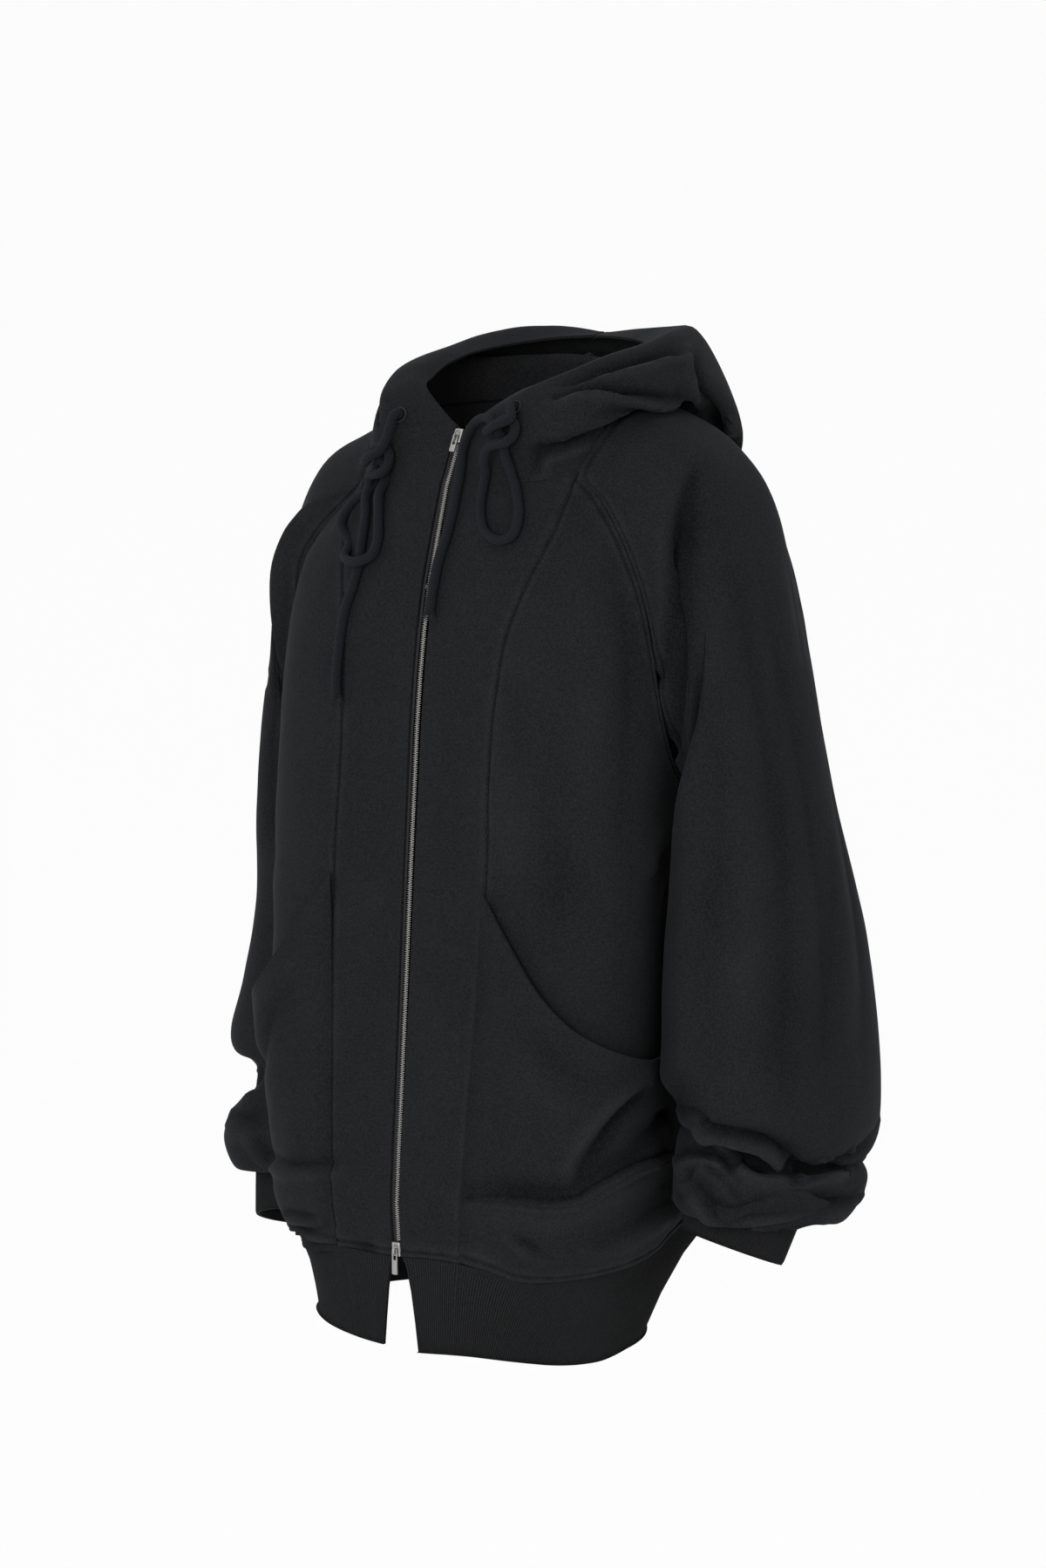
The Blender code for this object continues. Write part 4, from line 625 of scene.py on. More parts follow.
# Creases: the pieces that take them, depth and half width in millimetres, how far one side
# swells up as a share of the depth, then the crease's line as places in a view's plane,
# millimetres across and up.
CREASES_FROM_FRONT = [
    # left sleeve: the deep valley from the armhole down, and the soft folds beside it
    ("sleeve_left", 7, 5, 0.2, [(138, 250), (130, 223), (127, 191), (121, 142), (112, 95),
                                (106, 60)]),
    ("sleeve_left", 9, 8, 0.2, [(141, 256), (136, 226), (132, 192), (127, 150), (121, 110)]),
    ("sleeve_left", 13, 9, 0.1, [(134, 215), (131, 170), (129, 120), (125, 70), (120, 20),
                                 (116, -30)]),
    ("sleeve_left", 3, 17, 0.8, [(163, 206), (174, 163), (182, 120), (189, 78), (198, 24),
                                 (202, -40)]),
    ("sleeve_left", 3, 18, 0.8, [(206, 60), (211, -20), (214, -90), (214, -160), (212, -213),
                                 (216, -266)]),
    ("sleeve_left", 2, 13, 0.6, [(212, 191), (222, 149), (230, 90)]),
    ("sleeve_left", 2, 15, 0.6, [(160, 60), (163, -20), (158, -90), (150, -160), (152, -210)]),
    ("sleeve_left", 1.5, 14, 0.6, [(246, 20), (252, -60), (250, -150), (240, -230)]),
    # rolls over the left cuff
    ("sleeve_left", 9, 5, 0.9, [(126, -266), (140, -267), (147, -274), (153, -281),
                                (188, -286), (213, -299), (223, -311), (245, -312),
                                (273, -306)]),
    ("sleeve_left", 12, 6, 0.9, [(160, -291), (176, -300), (192, -311), (205, -312),
                                 (216, -314)]),
    ("sleeve_left", 9, 5, 0.9, [(126, -302), (138, -298), (156, -300), (166, -306),
                                (170, -314)]),
    ("sleeve_left", 10, 6, 0.7, [(135, -320), (147, -334), (158, -346), (170, -350),
                                 (190, -346), (213, -342), (241, -337), (263, -341),
                                 (278, -334)]),
    ("sleeve_left", 6, 3.5, 0.8, [(131, -272), (165, -285), (206, -293), (215, -313)]),
    ("sleeve_left", 5, 3, 0.8, [(131, -322), (142, -309), (152, -312), (166, -324), (176, -338)]),
    ("sleeve_left", 5, 3, 0.8, [(216, -326), (232, -322), (248, -318), (262, -315)]),
    ("sleeve_left", 5, 4, 0.7, [(150, -345), (160, -356), (184, -362), (214, -359), (240, -352)]),
    ("sleeve_left", 4, 5, 0.6, [(227, -359), (238, -355), (248, -349)]),
    # front of the body: the crease over the rib and the drag lines from the pocket
    ("left", 7, 2.6, 0.9, [(-50, -338), (-14, -338), (21, -342), (46, -339), (67, -327),
                           (96, -311), (128, -298)]),
    ("left", 7, 12, 0.5, [(-40, -330), (-10, -331), (21, -334), (46, -330), (70, -316),
                          (100, -300)]),
    ("left", 10, 7, 0.6, [(100, -252), (78, -273), (64, -291), (52, -311), (50, -324)]),
    ("left", 9, 12, 0.3, [(128, -250), (112, -276), (96, -290)]),
    ("left", 5, 4, 0.8, [(-7, -369), (5, -376), (14, -384)]),
    ("left", 4, 7, 0.7, [(62, -372), (85, -362), (110, -345), (132, -334)]),
    ("left", 2, 9, 0.4, [(-8, 75), (-4, 40), (-6, 10)]),
    ("left", 3, 16, 0.5, [(75, 170), (88, 110), (86, 40), (80, -40)]),
    ("left", 2, 18, 0.5, [(20, 0), (28, -60), (24, -120)]),
    ("left", 3, 14, 0.5, [(4, -200), (30, -232), (62, -246)]),
    # right lower front
    ("right", 7, 5, 0.8, [(-216, -291), (-206, -302), (-188, -310), (-153, -309)]),
    ("right", 6, 4, 0.8, [(-202, -348), (-186, -350), (-170, -352)]),
    ("right", 6, 5, 0.8, [(-195, -362), (-178, -363), (-160, -362)]),
    ("right", 5, 5, 0.7, [(-142, -374), (-124, -378), (-106, -382)]),
    ("right", 4, 9, 0.5, [(-192, -167), (-205, -190), (-211, -215), (-214, -240)]),
    ("right", 3, 12, 0.5, [(-186, 160), (-200, 90), (-204, 20), (-202, -60)]),
    ("sleeve_right", 6, 8, 0.6, [(-236, -215), (-228, -232), (-214, -240)]),
    ("sleeve_right", 6, 8, 0.6, [(-240, -262), (-228, -270), (-212, -272)]),
    # hood
    ("hood_left", 11, 4, 0.9, [(26, 315), (50, 322), (78, 321), (103, 316), (124, 313)]),
    ("hood_left", 9, 5, 0.9, [(35, 326), (60, 335), (92, 344), (114, 351), (128, 351)]),
    ("hood_left", 8, 5, 0.8, [(9, 256), (14, 270), (32, 277), (60, 287)]),
    ("hood_left", 10, 5, 0.8, [(140, 347), (147, 319), (156, 298), (163, 284)]),
    ("hood_left", 7, 4, 0.6, [(126, 317), (133, 301)]),
    ("hood_left", 5, 6, 0.5, [(60, 300), (85, 303), (110, 300)]),
]
CREASES_FROM_BACK = [
    ("", 5, 13, 0.5, [(-150, 190), (-160, 120), (-170, 40), (-172, -60), (-165, -150)]),
    ("", 5, 13, 0.5, [(150, 180), (162, 110), (170, 30), (168, -80), (160, -170)]),
    ("", 4, 14, 0.5, [(-95, -250), (-50, -285), (10, -300), (70, -290), (110, -262)]),
    ("", 3, 12, 0.5, [(-60, -330), (0, -342), (60, -334)]),
    ("", 3, 16, 0.4, [(-80, 150), (-70, 90), (-72, 20)]),
    ("", 3, 16, 0.4, [(84, 160), (74, 90), (80, 10)]),
    ("", 4, 9, 0.5, [(-70, 290), (-30, 268), (20, 262), (60, 282)]),
    ("", 3, 8, 0.5, [(-50, 320), (0, 306), (48, 316)]),
]
CREASES_FROM_LEFT = [
    ("", 2.5, 14, 0.5, [(10, 200), (22, 120), (30, 30), (26, -60), (18, -150), (10, -230)]),
    ("", 3, 13, 0.5, [(85, 60), (88, -30), (84, -120), (70, -200)]),
    ("", 6, 7, 0.6, [(-50, -290), (0, -300), (60, -296), (110, -280)]),
    ("", 5, 7, 0.6, [(-40, -325), (10, -332), (70, -328)]),
]
CREASES_FROM_RIGHT = [
    ("", 5, 12, 0.5, [(-12, 190), (-24, 110), (-30, 20), (-24, -80), (-16, -170), (-12, -240)]),
    ("", 4, 12, 0.5, [(-85, 50), (-90, -40), (-82, -130)]),
    ("", 6, 7, 0.6, [(50, -285), (0, -292), (-60, -286), (-110, -272)]),
    ("", 5, 7, 0.6, [(40, -325), (-10, -334), (-70, -328)]),
]
CREASE_VIEWS = [          # azimuth and elevation in degrees, and the creases seen from there
    (37, 10, CREASES_FROM_FRONT),
    (180, 5, CREASES_FROM_BACK),
    (90, 0, CREASES_FROM_LEFT),
    (270, 0, CREASES_FROM_RIGHT),
]
CREASE_REACH = 3.2        # how far a crease is felt, in half widths
CREASE_SHARPNESS = 1.15   # 1 for a trough with a sharp bottom, 2 for a round one
SWELL_PLACE = 1.8         # where the cloth swells up beside a trough, in half widths
CREASE_END = 0.06         # share of its arch of depth that a crease starts and ends at
CREASE_FULLNESS = 0.6     # the lower, the longer a crease keeps its depth
LINE_STEPS = 4            # points laid on the cloth for each span of a crease
ZIP_CLEAR = 0.016         # distance from the zip within which no crease is pressed in
ZIP_FADE = 0.030


def cloth_tree():
    """All outer skins as one surface to lay lines on."""
    corners, faces = [], []
    for skin in SKINS.values():
        base = len(corners)
        rows, columns = skin.points.shape[:2]
        corners.extend(Vector(p) for p in skin.points.reshape(-1, 3))
        for j in range(rows - 1):
            for i in range(columns if skin.ring else columns - 1):
                k = (i + 1) % columns
                faces.append((base + j * columns + i, base + j * columns + k,
                              base + (j + 1) * columns + k, base + (j + 1) * columns + i))
    return BVHTree.FromPolygons(corners, faces)


def smooth_line(places, per_span):
    """More places on a smooth line through the given ones."""
    spans = len(places) - 1
    table = cubic_table(len(places), [n / per_span for n in range(spans * per_span + 1)], False)
    return table @ np.array(places, dtype=float)


def laid_creases(tree):
    """Every crease as points on the cloth with the cloth's direction there."""
    found = []
    for azimuth, elevation, creases in CREASE_VIEWS:
        angles = (math.radians(azimuth), math.radians(elevation))
        for pieces, depth, half_width, swell, line in creases:
            points, outs = [], []
            for across, up in smooth_line(line, LINE_STEPS):
                eye, sight = view_ray(across / 1000, up / 1000, *angles)
                hit, out, _, _ = tree.ray_cast(eye, sight)
                if hit is not None:
                    points.append(hit[:])
                    outs.append((out if out.dot(sight) < 0 else -out)[:])
            if len(points) > 2:
                found.append((pieces, depth / 1000, half_width / 1000, swell,
                              np.array(points), np.array(outs)))
    return found


def press_crease(skin, crease):
    """How far one crease moves each point of a skin."""
    pieces, depth, half_width, swell, line, outs = crease
    reach = CREASE_REACH * half_width
    points = skin.rest.reshape(-1, 3)
    near = np.all((points > line.min(0) - reach) & (points < line.max(0) + reach), axis=1)
    moved = np.zeros(len(points))
    if pieces not in skin.name or not near.any():
        return moved.reshape(skin.rest.shape[:2])
    chosen = points[near]
    directions = skin.normals.reshape(-1, 3)[near]
    best = np.full(len(chosen), FAR)
    side, passed, facing = np.zeros((3, len(chosen)))
    walked = walked_along(line)
    for a, b, out, done in zip(line, line[1:], outs, walked):
        span = b - a
        length = np.linalg.norm(span)
        t = np.clip((chosen - a) @ span / length ** 2, 0, 1)
        gap = chosen - (a + t[:, None] * span)
        away = np.linalg.norm(gap, axis=1)
        closer = away < best
        best = np.where(closer, away, best)
        side = np.where(closer, np.sign(gap @ np.cross(span, out)), side)
        passed = np.where(closer, (done + t * length) / walked[-1], passed)
        facing = np.where(closer, directions @ out, facing)
    fade = np.sin(np.pi * (CREASE_END + (1 - 2 * CREASE_END) * passed)) ** CREASE_FULLNESS
    trough = np.exp(-(best / half_width) ** CREASE_SHARPNESS)
    ridge = np.exp(-((best * side - SWELL_PLACE * half_width) / half_width) ** 2)
    moved[near] = depth * fade * (swell * ridge - trough) * np.clip(facing * 2, 0, 1)
    return moved.reshape(skin.rest.shape[:2])


def clear_of_zip(skin):
    """0 beside the zip and 1 away from it."""
    across = np.abs(skin.rest[:, :, 0])
    near = np.clip((across - ZIP_CLEAR) / (ZIP_FADE - ZIP_CLEAR), 0, 1)
    return np.where(skin.rest[:, :, 1] > 0, 1.0, near)


MOUTH_ROW = 7             # row of a side front's coarse points that the pocket's mouth is on
MOUTH_FROM = 0.3          # rows below it that the pocket's cover ends at
MOUTH_OVER = 0.5          # and rows over which it fades out there
LET_IN = 0.0021           # how far a pocket's edge is let into its princess seam
LET_IN_REACH = 0.012
PRINCESS_SIDE = {"left": "first", "right": "last"}


def below_mouth(skin):
    """1 for the rows of a front that its pocket covers, 0 for those above."""
    if skin.name == "back" or skin.name.split("_")[0] in ("sleeve", "hood"):
        return np.zeros((len(skin.rows), 1))
    return np.clip((MOUTH_ROW - MOUTH_FROM - np.array(skin.rows)) / MOUTH_OVER, 0, 1)[:, None]


def let_pocket_in(skin):
    """How far the princess edge of a pocket, and of the panel under it, sinks in."""
    if "pocket" not in skin.name and "side_front" not in skin.name:
        return 0.0
    distance = skin.seam_distance((PRINCESS_SIDE[skin.name.split("_")[-1]],))
    covered = below_mouth(skin)
    return -LET_IN * covered * np.exp(-(distance / LET_IN_REACH) ** 2)


def sewn_sides(name):
    """A piece's plain, banded and flat sides."""
    kinds = SEWN_SIDES[name.removesuffix("_left").removesuffix("_right")]
    if name.endswith("_right"):
        kinds = [tuple(MIRRORED[side] for side in sides) for sides in kinds]
    return kinds


def reliefs(distance, table):
    """Ridges and grooves along a seam, by the distance from it."""
    return sum(height * np.exp(-((distance - place) / width) ** 2)
               for height, place, width in table)


def shape_skins():
    """Read every wall and press the seams, creases and slow waves into it."""
    jersey = bpy.context.scene.hoodie_jersey
    for name, (start, end) in WALL_STARTS.items():
        SKINS[name] = Skin(name, jersey.wall, jersey.step, start, end)
    creases = laid_creases(cloth_tree())
    for skin in SKINS.values():
        finer = noise_at(skin.rest, jersey.wave_length / FINER_LENGTH)
        moved = jersey.wave * (noise_at(skin.rest, jersey.wave_length) + FINER_WAVE * finer)
        for crease in creases:
            moved = moved + press_crease(skin, crease)
        moved = moved * clear_of_zip(skin) + let_pocket_in(skin)
        # creases, waves and the pocket's let-in edge set the ridge map: painted highlight where the
        # cloth stands up, painted shade where it sinks in
        skin.ridge = np.clip(moved / FULL_PAINTED_LIGHT_RELIEF, -1, 1) * CREASE_PAINTED_LIGHT
        sides = sewn_sides(skin.name)
        plain, banded = [skin.seam_distance(side) for side in sides[:2]]
        sunk = jersey.seam_dip * (1 - (1 - COVERED_DIP) * below_mouth(skin))
        seams = (reliefs(plain, PLAIN_RELIEFS) - sunk * reliefs(plain, PLAIN_GROOVE)
                 + reliefs(banded, BAND_RELIEFS))
        seams = seams + (PUCKER * noise_at(skin.rest, PUCKER_LENGTH)
                         * (reliefs(banded, BAND_PUCKER) + reliefs(plain, PLAIN_PUCKER)))
        # seams add to the ridge map: painted shade in their grooves, and on their ridges a paleness
        # that is partly wear and partly painted highlight
        skin.ridge = skin.ridge + np.clip(seams / jersey.seam_dip, -1, 1) * SEAM_PAINTED_LIGHT
        skin.push(moved + seams)
        reach = SEAM_REACH * (POCKET_REACH if "pocket" in skin.name else 1)
        skin.meet(sides[1] + sides[2], reach)


# ---------------------------------------------------------------- making pieces
CLOTH_ANGLE = math.radians(55)      # turn of the cloth that still looks smooth


def only(item):
    """Select one object alone and make it active."""
    bpy.ops.object.select_all(action="DESELECT")
    item.select_set(True)
    bpy.context.view_layer.objects.active = item


def start_from(primitive, **size):
    """New object from a primitive, with nothing else selected."""
    bpy.ops.object.select_all(action="DESELECT")
    primitive(**size)
    return bpy.context.object


def apply_modifiers(item):
    only(item)
    for modifier in list(item.modifiers):
        bpy.ops.object.modifier_apply(modifier=modifier.name)


def cloth_mesh(name, points, ring, across, up, ridge, inner=None):
    """Grid object through rows of points, with its flat cloth places and its ridge map for painted
    highlight and shade.
    """
    if ring:
        points, ridge = closed(points), closed(ridge)
        inner = inner if inner is None else closed(inner)
    rows, columns = points.shape[:2]
    item = start_from(bpy.ops.mesh.primitive_grid_add, x_subdivisions=columns - 1,
                      y_subdivisions=rows - 1, size=1)
    item.name = name
    item.data.name = name
    item.data.vertices.foreach_set("co", points.ravel())
    layer = item.data.uv_layers[0]
    layer.name = "cloth"
    corner = np.zeros(len(item.data.loops), dtype=int)
    item.data.loops.foreach_get("vertex_index", corner)
    flat = np.stack(np.meshgrid(across, up), axis=2).reshape(-1, 2)
    layer.data.foreach_set("uv", flat[corner].ravel())
    # ridge map: the knit colour reads it as painted highlight where high and painted shade where
    # low
    item.data.attributes.new("ridge", "FLOAT", "POINT").data.foreach_set("value", ridge.ravel())
    if inner is not None:
        layer = item.data.attributes.new("inner", "FLOAT_VECTOR", "POINT")
        layer.data.foreach_set("vector", inner.ravel())
    if ring:
        only(item)
        bpy.ops.object.mode_set(mode="EDIT")
        bpy.ops.mesh.select_all(action="SELECT")
        bpy.ops.mesh.remove_doubles(threshold=0.000001)
        bpy.ops.object.mode_set(mode="OBJECT")
    return item


def dressed(item, finish, node_name=None):
    """Give a piece its finish, and let it ride along and stand for its CAD node."""
    item.data.materials.clear()
    item.data.materials.append(finish_of(finish))
    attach(item, BODY)
    if node_name:
        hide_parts(node_name)


def close_wall(item, wall, finish, node_name):
    """Give a skin its thickness and finish, and let it stand for its CAD node.

    The inner skin lies even behind the outer one, or at the inner points kept with it.
    """
    count = len(item.data.vertices)
    solid = item.modifiers.new("wall", "SOLIDIFY")
    solid.thickness = wall
    solid.offset = -1
    apply_modifiers(item)
    layer = item.data.attributes.get("inner")
    if layer is not None:
        places = np.zeros(len(item.data.vertices) * 3)
        backs = places.copy()
        item.data.vertices.foreach_get("co", places)
        layer.data.foreach_get("vector", backs)
        places[count * 3:] = backs[count * 3:]
        item.data.vertices.foreach_set("co", places)
        item.data.attributes.remove(layer)
        item.data.update()
    bpy.ops.object.shade_smooth_by_angle(angle=CLOTH_ANGLE)
    dressed(item, finish, node_name)


def dress_wall(name):
    """The jersey piece of one CAD wall."""
    skin = SKINS[name]
    across = np.append(skin.across, skin.girth[-1]) if skin.ring else skin.across
    item = cloth_mesh(name + "_cloth", skin.points, skin.ring, across - across.mean(), skin.up,
                      skin.ridge)
    close_wall(item, skin.wall, "hoodie jersey", name)
    across, up = cells_of(skin.coarse, skin.ring)


def dress_walls(*names):
    for name in names:
        dress_wall(name)
    return {"FINISHED"}


# ---------------------------------------------------------------- ribs
RIB_COLUMNS = 4           # points across one rib
RIB_ROWS = (0.0, 0.004, 0.012, 0.035, 0.11, 0.24, 0.39, 0.54, 0.69, 0.83, 0.93, 0.975, 0.995,
            1.0)
RIB_SLACK = 0.0007        # height of the slow waves of a rib
RIB_SLACK_LENGTH = 0.04
RIB_FULLNESS = 0.7        # the lower, the broader the ribs and the narrower their grooves
RIB_ENDS = (0.03, 0.06)   # shares of the height over which the relief starts and ends
RIB_PAINTED_LIGHT_LEVEL = 0.35          # share of its relief above which a rib gets painted highlight; below it, in grooves and at its ends, painted shade


def rib_piece(node_name, pitch, start, end=None):
    """Rib knit at its true pitch over the plain inner skin of its CAD wall."""
    rib = bpy.context.scene.hoodie_rib
    inner = read_wall(node_name, rib.wall, start, end, inner=True)
    ring = end is None
    out = normals_of(inner, ring)
    base = inner + out * rib.wall
    across, up = cells_of(base, ring)
    walked = total_of(across.mean(axis=0))
    tall = up.sum(axis=0).mean()
    count = round(walked[-1] / pitch) * RIB_COLUMNS
    goals = np.linspace(0, walked[-1], count + 1)[:count if ring else None]
    columns = np.interp(goals, walked, range(len(walked)))
    shares = np.array(RIB_ROWS)
    points = read_smoothly(base, shares * (base.shape[0] - 1), columns, ring)
    normals = normals_of(points, ring)
    phase = np.arange(points.shape[1]) / RIB_COLUMNS * 2 * math.pi
    wave = (0.5 - 0.5 * np.cos(phase)) ** RIB_FULLNESS
    low, high = RIB_ENDS
    ends = np.clip(np.minimum(shares / low, (1 - shares) / high), 0, 1)[:, None]
    slack = RIB_SLACK * noise_at(points, RIB_SLACK_LENGTH) * ends
    under = points + normals * slack[:, :, None]
    points = under + normals * (rib.height * wave * ends)[:, :, None]
    across_line = np.append(goals, walked[-1]) if ring else goals
    # the rib's ridge map: painted highlight on the crowns of the ribs, painted shade in their
    # grooves and towards the rib's top and bottom
    item = cloth_mesh(node_name + "_knit", points, ring, across_line - across_line.mean(),
                      shares * tall, wave * ends - RIB_PAINTED_LIGHT_LEVEL, under - normals * rib.wall)
    close_wall(item, rib.wall, "hoodie rib", node_name)


# ---------------------------------------------------------------- copies of small things
def copies(name, base, places):
    """One mesh of copies of a small object, one for each placing matrix."""
    shape = np.array([v.co[:] for v in base.data.vertices])
    faces = [list(p.vertices) for p in base.data.polygons]
    points, polygons = [], []
    for place in places:
        turn = np.array(place.to_3x3())
        offset = len(points) * len(shape)
        points.append(shape @ turn.T + np.array(place.translation))
        polygons += [[offset + n for n in face] for face in faces]
    mesh = bpy.data.meshes.new(name)
    mesh.from_pydata(np.concatenate(points).tolist(), [], polygons)
    mesh.shade_smooth()
    item = bpy.data.objects.new(name, mesh)
    bpy.context.scene.collection.objects.link(item)
    bpy.data.objects.remove(base)
    return item


def placed(origin, forward, out):
    """Matrix with Y along a direction and Z out of the cloth."""
    y = Vector(forward).normalized()
    z = Vector(out)
    z = (z - y * z.dot(y)).normalized()
    x = y.cross(z)
    turn = Matrix((x, y, z)).transposed().to_4x4()
    turn.translation = origin
    return turn


def line_beside(skin, side, distance):
    """Points and directions on a skin along a line at a distance from one of its sides."""
    along = skin.up
    tables = [skin.points, normals_of(skin.points, skin.ring)]
    if side in ("first", "last"):
        along = skin.across
        tables = [table.swapaxes(0, 1) for table in tables]
    i, t = cell_at(along, distance if side in ("low", "first") else along[-1] - distance)
    lines = [at_share(table, i, t) for table in tables]
    return [np.concatenate((line, line[:1])) for line in lines] if skin.ring else lines


def stitch_places(line, outs, pitch, rise):
    """Placing matrices of a row of stitches along a line on the cloth."""
    walked = walked_along(line)
    found = []
    for goal in np.arange(pitch / 2, walked[-1] - pitch / 2, pitch):
        i, t = cell_at(walked, goal)
        out = Vector(at_share(outs, i, t))
        place = Vector(at_share(line, i, t)) + out.normalized() * rise
        found.append(placed(place, line[i + 1] - line[i], out))
    return found


def one_stitch(length, thread):
    """A short rounded stitch along Y."""
    item = start_from(bpy.ops.mesh.primitive_uv_sphere_add, segments=6, ring_count=3,
                      radius=0.5)
    item.data.transform(Matrix.Diagonal((thread, thread * 0.8, length, 1)))
    item.data.transform(Matrix.Rotation(math.radians(90), 4, "X"))
    return item


FRONT_STITCH = 0.0060     # from the zip
MOUTH_STITCH = 0.0190     # from a pocket's mouth
HOOD_STITCH = 0.0240      # from the hood's edge
STITCH_RISE = 0.2         # of the thread's thickness, that a stitch lies off the cloth
# Rows of stitches: skin, side, and distance from it.
SEAM_ROWS = []
for SIDE, INNER in (("left", "first"), ("right", "last")):
    SEAM_ROWS += [
        (f"centre_front_{SIDE}", INNER, FRONT_STITCH),
        (f"hood_{SIDE}", INNER, FRONT_STITCH),
        (f"side_front_{SIDE}", "high", BAND_STITCH),
        (f"sleeve_{SIDE}", "high", BAND_STITCH),
        (f"centre_front_{SIDE}", "low", BAND_STITCH),
        (f"side_front_{SIDE}", "low", BAND_STITCH),
        (f"pocket_{SIDE}", "low", BAND_STITCH),
        (f"pocket_{SIDE}", "high", MOUTH_STITCH),
        (f"hood_{SIDE}", "high", HOOD_STITCH),
        (f"sleeve_{SIDE}", "low", BAND_STITCH),
    ]
SEAM_ROWS += [("back", "low", BAND_STITCH), ("back", "high", BAND_STITCH)]


# ---------------------------------------------------------------- drawcords
EYELET_PROUD = 0.0014     # an eyelet's middle off the cloth
CORD_STAND = 0.0060       # a cord's middle off the cloth that it lies on
EXIT_STANDS = (0.0010, 0.0070)
# Slipped knots: where they lie on the cloth (x, z), and their turns in millimetres across,
# up and out from there.
KNOT_PLACES = {"left": (0.058, -0.045), "right": (-0.068, -0.076)}
KNOT_TURNS = [
    (10, 11, 13), (0, 3, 19), (-9, -2, 16), (-12, 1, 9.5), (-8, 8, 5.2), (1, 11, 4.8),
    (10, 6, 5.5), (13, -3, 9.5), (9, -9, 14), (1, -11, 14.5), (-7, -14, 13), (-12, -24, 11),
]
# The way back through each knot, from the loop to the free end.
KNOT_RETURNS = {
    "left": [(3, -16, 4.8), (1, -6, 6.5), (-4, 1, 11.8), (-10, 7, 13), (-17, 9, 10.5)],
    "right": [(4, -14, 4.8), (3, -5, 4.8), (-3, -1, 4.8), (-8, -6, 4.8), (-8, -16, 4.8)],
}
# Loops and free ends: x and z on the cloth, and how far the cord's middle stands off it
# where that isn't its usual stand.
LOOPS = {
    "left": [(0.042, -0.077, 0.007), (0.040, -0.092), (0.042, -0.110), (0.051, -0.124),
             (0.064, -0.129), (0.074, -0.125), (0.076, -0.112), (0.068, -0.092),
             (0.062, -0.074)],
    "right": [(-0.096, -0.117, 0.007), (-0.103, -0.133), (-0.099, -0.147),
              (-0.083, -0.157, 0.009), (-0.066, -0.159, 0.0132), (-0.055, -0.152, 0.009),
              (-0.054, -0.140), (-0.058, -0.122), (-0.064, -0.105)],
}
FREE_ENDS = {
    "left": [(0.024, -0.043, 0.007), (0.017, -0.057), (0.017, -0.086), (0.016, -0.121),
             (0.011, -0.152), (0.0095, -0.190)],
    "right": [(-0.080, -0.108), (-0.074, -0.122), (-0.071, -0.141), (-0.069, -0.160),
              (-0.072, -0.177), (-0.077, -0.196), (-0.079, -0.222), (-0.079, -0.250),
              (-0.077, -0.265)],
}
ROUTE_POINTS = 40         # points tried for each given one, before they are spaced evenly
CORD_STEP = 0.0010        # spacing of the rings of points of a cord
CORD_AROUND = 28
CORD_ANGLE = math.radians(60)
CORD_LUMPS = 0.00022      # how unevenly thick a cord is
CORD_LUMPS_LENGTH = 0.009
CORD_TIP = (0.97, 0.90, 0.74)       # shares of its thickness that it narrows to at its cut
TUFT_STRANDS = 34
TUFT_TURN = 2.399963      # from strand to strand, so that they spread evenly
TUFT_ROOT = 0.003         # how deep its strands start in the cord
TUFT_FILL = 0.80          # of the cord's thickness that they grow from
TUFT_SPREAD = (0.30, 0.10)          # how they lean out: in all, and by how much they differ
TUFT_LENGTHS = (0.72, 0.28)         # the same of their lengths
TUFT_WAVES = (4.7, 7.3)   # how fast their lean and their length change from one to the next
STRAND_LENGTH = 0.0105
STRAND_THICK = 0.0009
STRAND_TAPER = 0.5
STRAND_BEND = 0.16        # of its length
EYELET_RADIUS = 0.0056
EYELET_THREAD = 0.0011
EYELET_STITCHES = 30
EYELET_LIFT = 0.0010      # off its CAD node's middle
EYELET_SWELL = 0.00016    # how far each of its stitches stands out
EYELET_FLATNESS = 0.8


def solid_fronts():
    """Outer faces of the solids that the cords lie on."""
    corners, faces = [], []
    for name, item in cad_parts.items():
        if "front" in name or "hood" in name:
            base = len(corners)
            corners += [v.co.copy() for v in item.data.vertices]
            faces += [[base + n for n in face.vertices] for face in item.data.polygons]
    return BVHTree.FromPolygons(corners, faces)


def off_cloth(tree, x, z, stand=CORD_STAND):
    """Point that stands off the cloth at x and z."""
    hit, normal, _, _ = tree.ray_cast(Vector((x, -1, z)), Vector((0, 1, 0)))
    return hit + (normal if normal.y < 0 else -normal) * stand


def in_knot(tree, side, across, up, out):
    """Point of a knot, from its millimetres across, up and out."""
    x, z = KNOT_PLACES[side]
    base = off_cloth(tree, x, z, 0)
    outward = (off_cloth(tree, x, z, 1) - base).normalized()
    sideways = Vector((-outward.y, outward.x, 0)).normalized()
    upward = outward.cross(sideways)
    upward = upward if upward.z > 0 else -upward
    return base + (sideways * across + upward * up + outward * out) / 1000


def eyelet_place(side):
    """Place of an eyelet on the hood, and the way that it faces."""
    points = np.array([v.co[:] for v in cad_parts[f"eyelet_{side}"].data.vertices])
    middle = np.unique(np.round(points, 6), axis=0).mean(0)
    out = Vector(np.linalg.svd(points - middle)[2][2])
    out = out if out.y < 0 else -out
    return Vector(middle) - out * EYELET_PROUD, out


def cord_route(tree, side):
    """Points of one drawcord: out of its eyelet, through its knot and loop, to its free end."""
    place, out = eyelet_place(side)
    route = [place + out * stand for stand in EXIT_STANDS]
    route += [in_knot(tree, side, *turn) for turn in KNOT_TURNS]
    route += [off_cloth(tree, *spot) for spot in LOOPS[side]]
    route += [in_knot(tree, side, *turn) for turn in KNOT_RETURNS[side]]
    route += [off_cloth(tree, *spot) for spot in FREE_ENDS[side]]
    return np.array([p[:] for p in route])


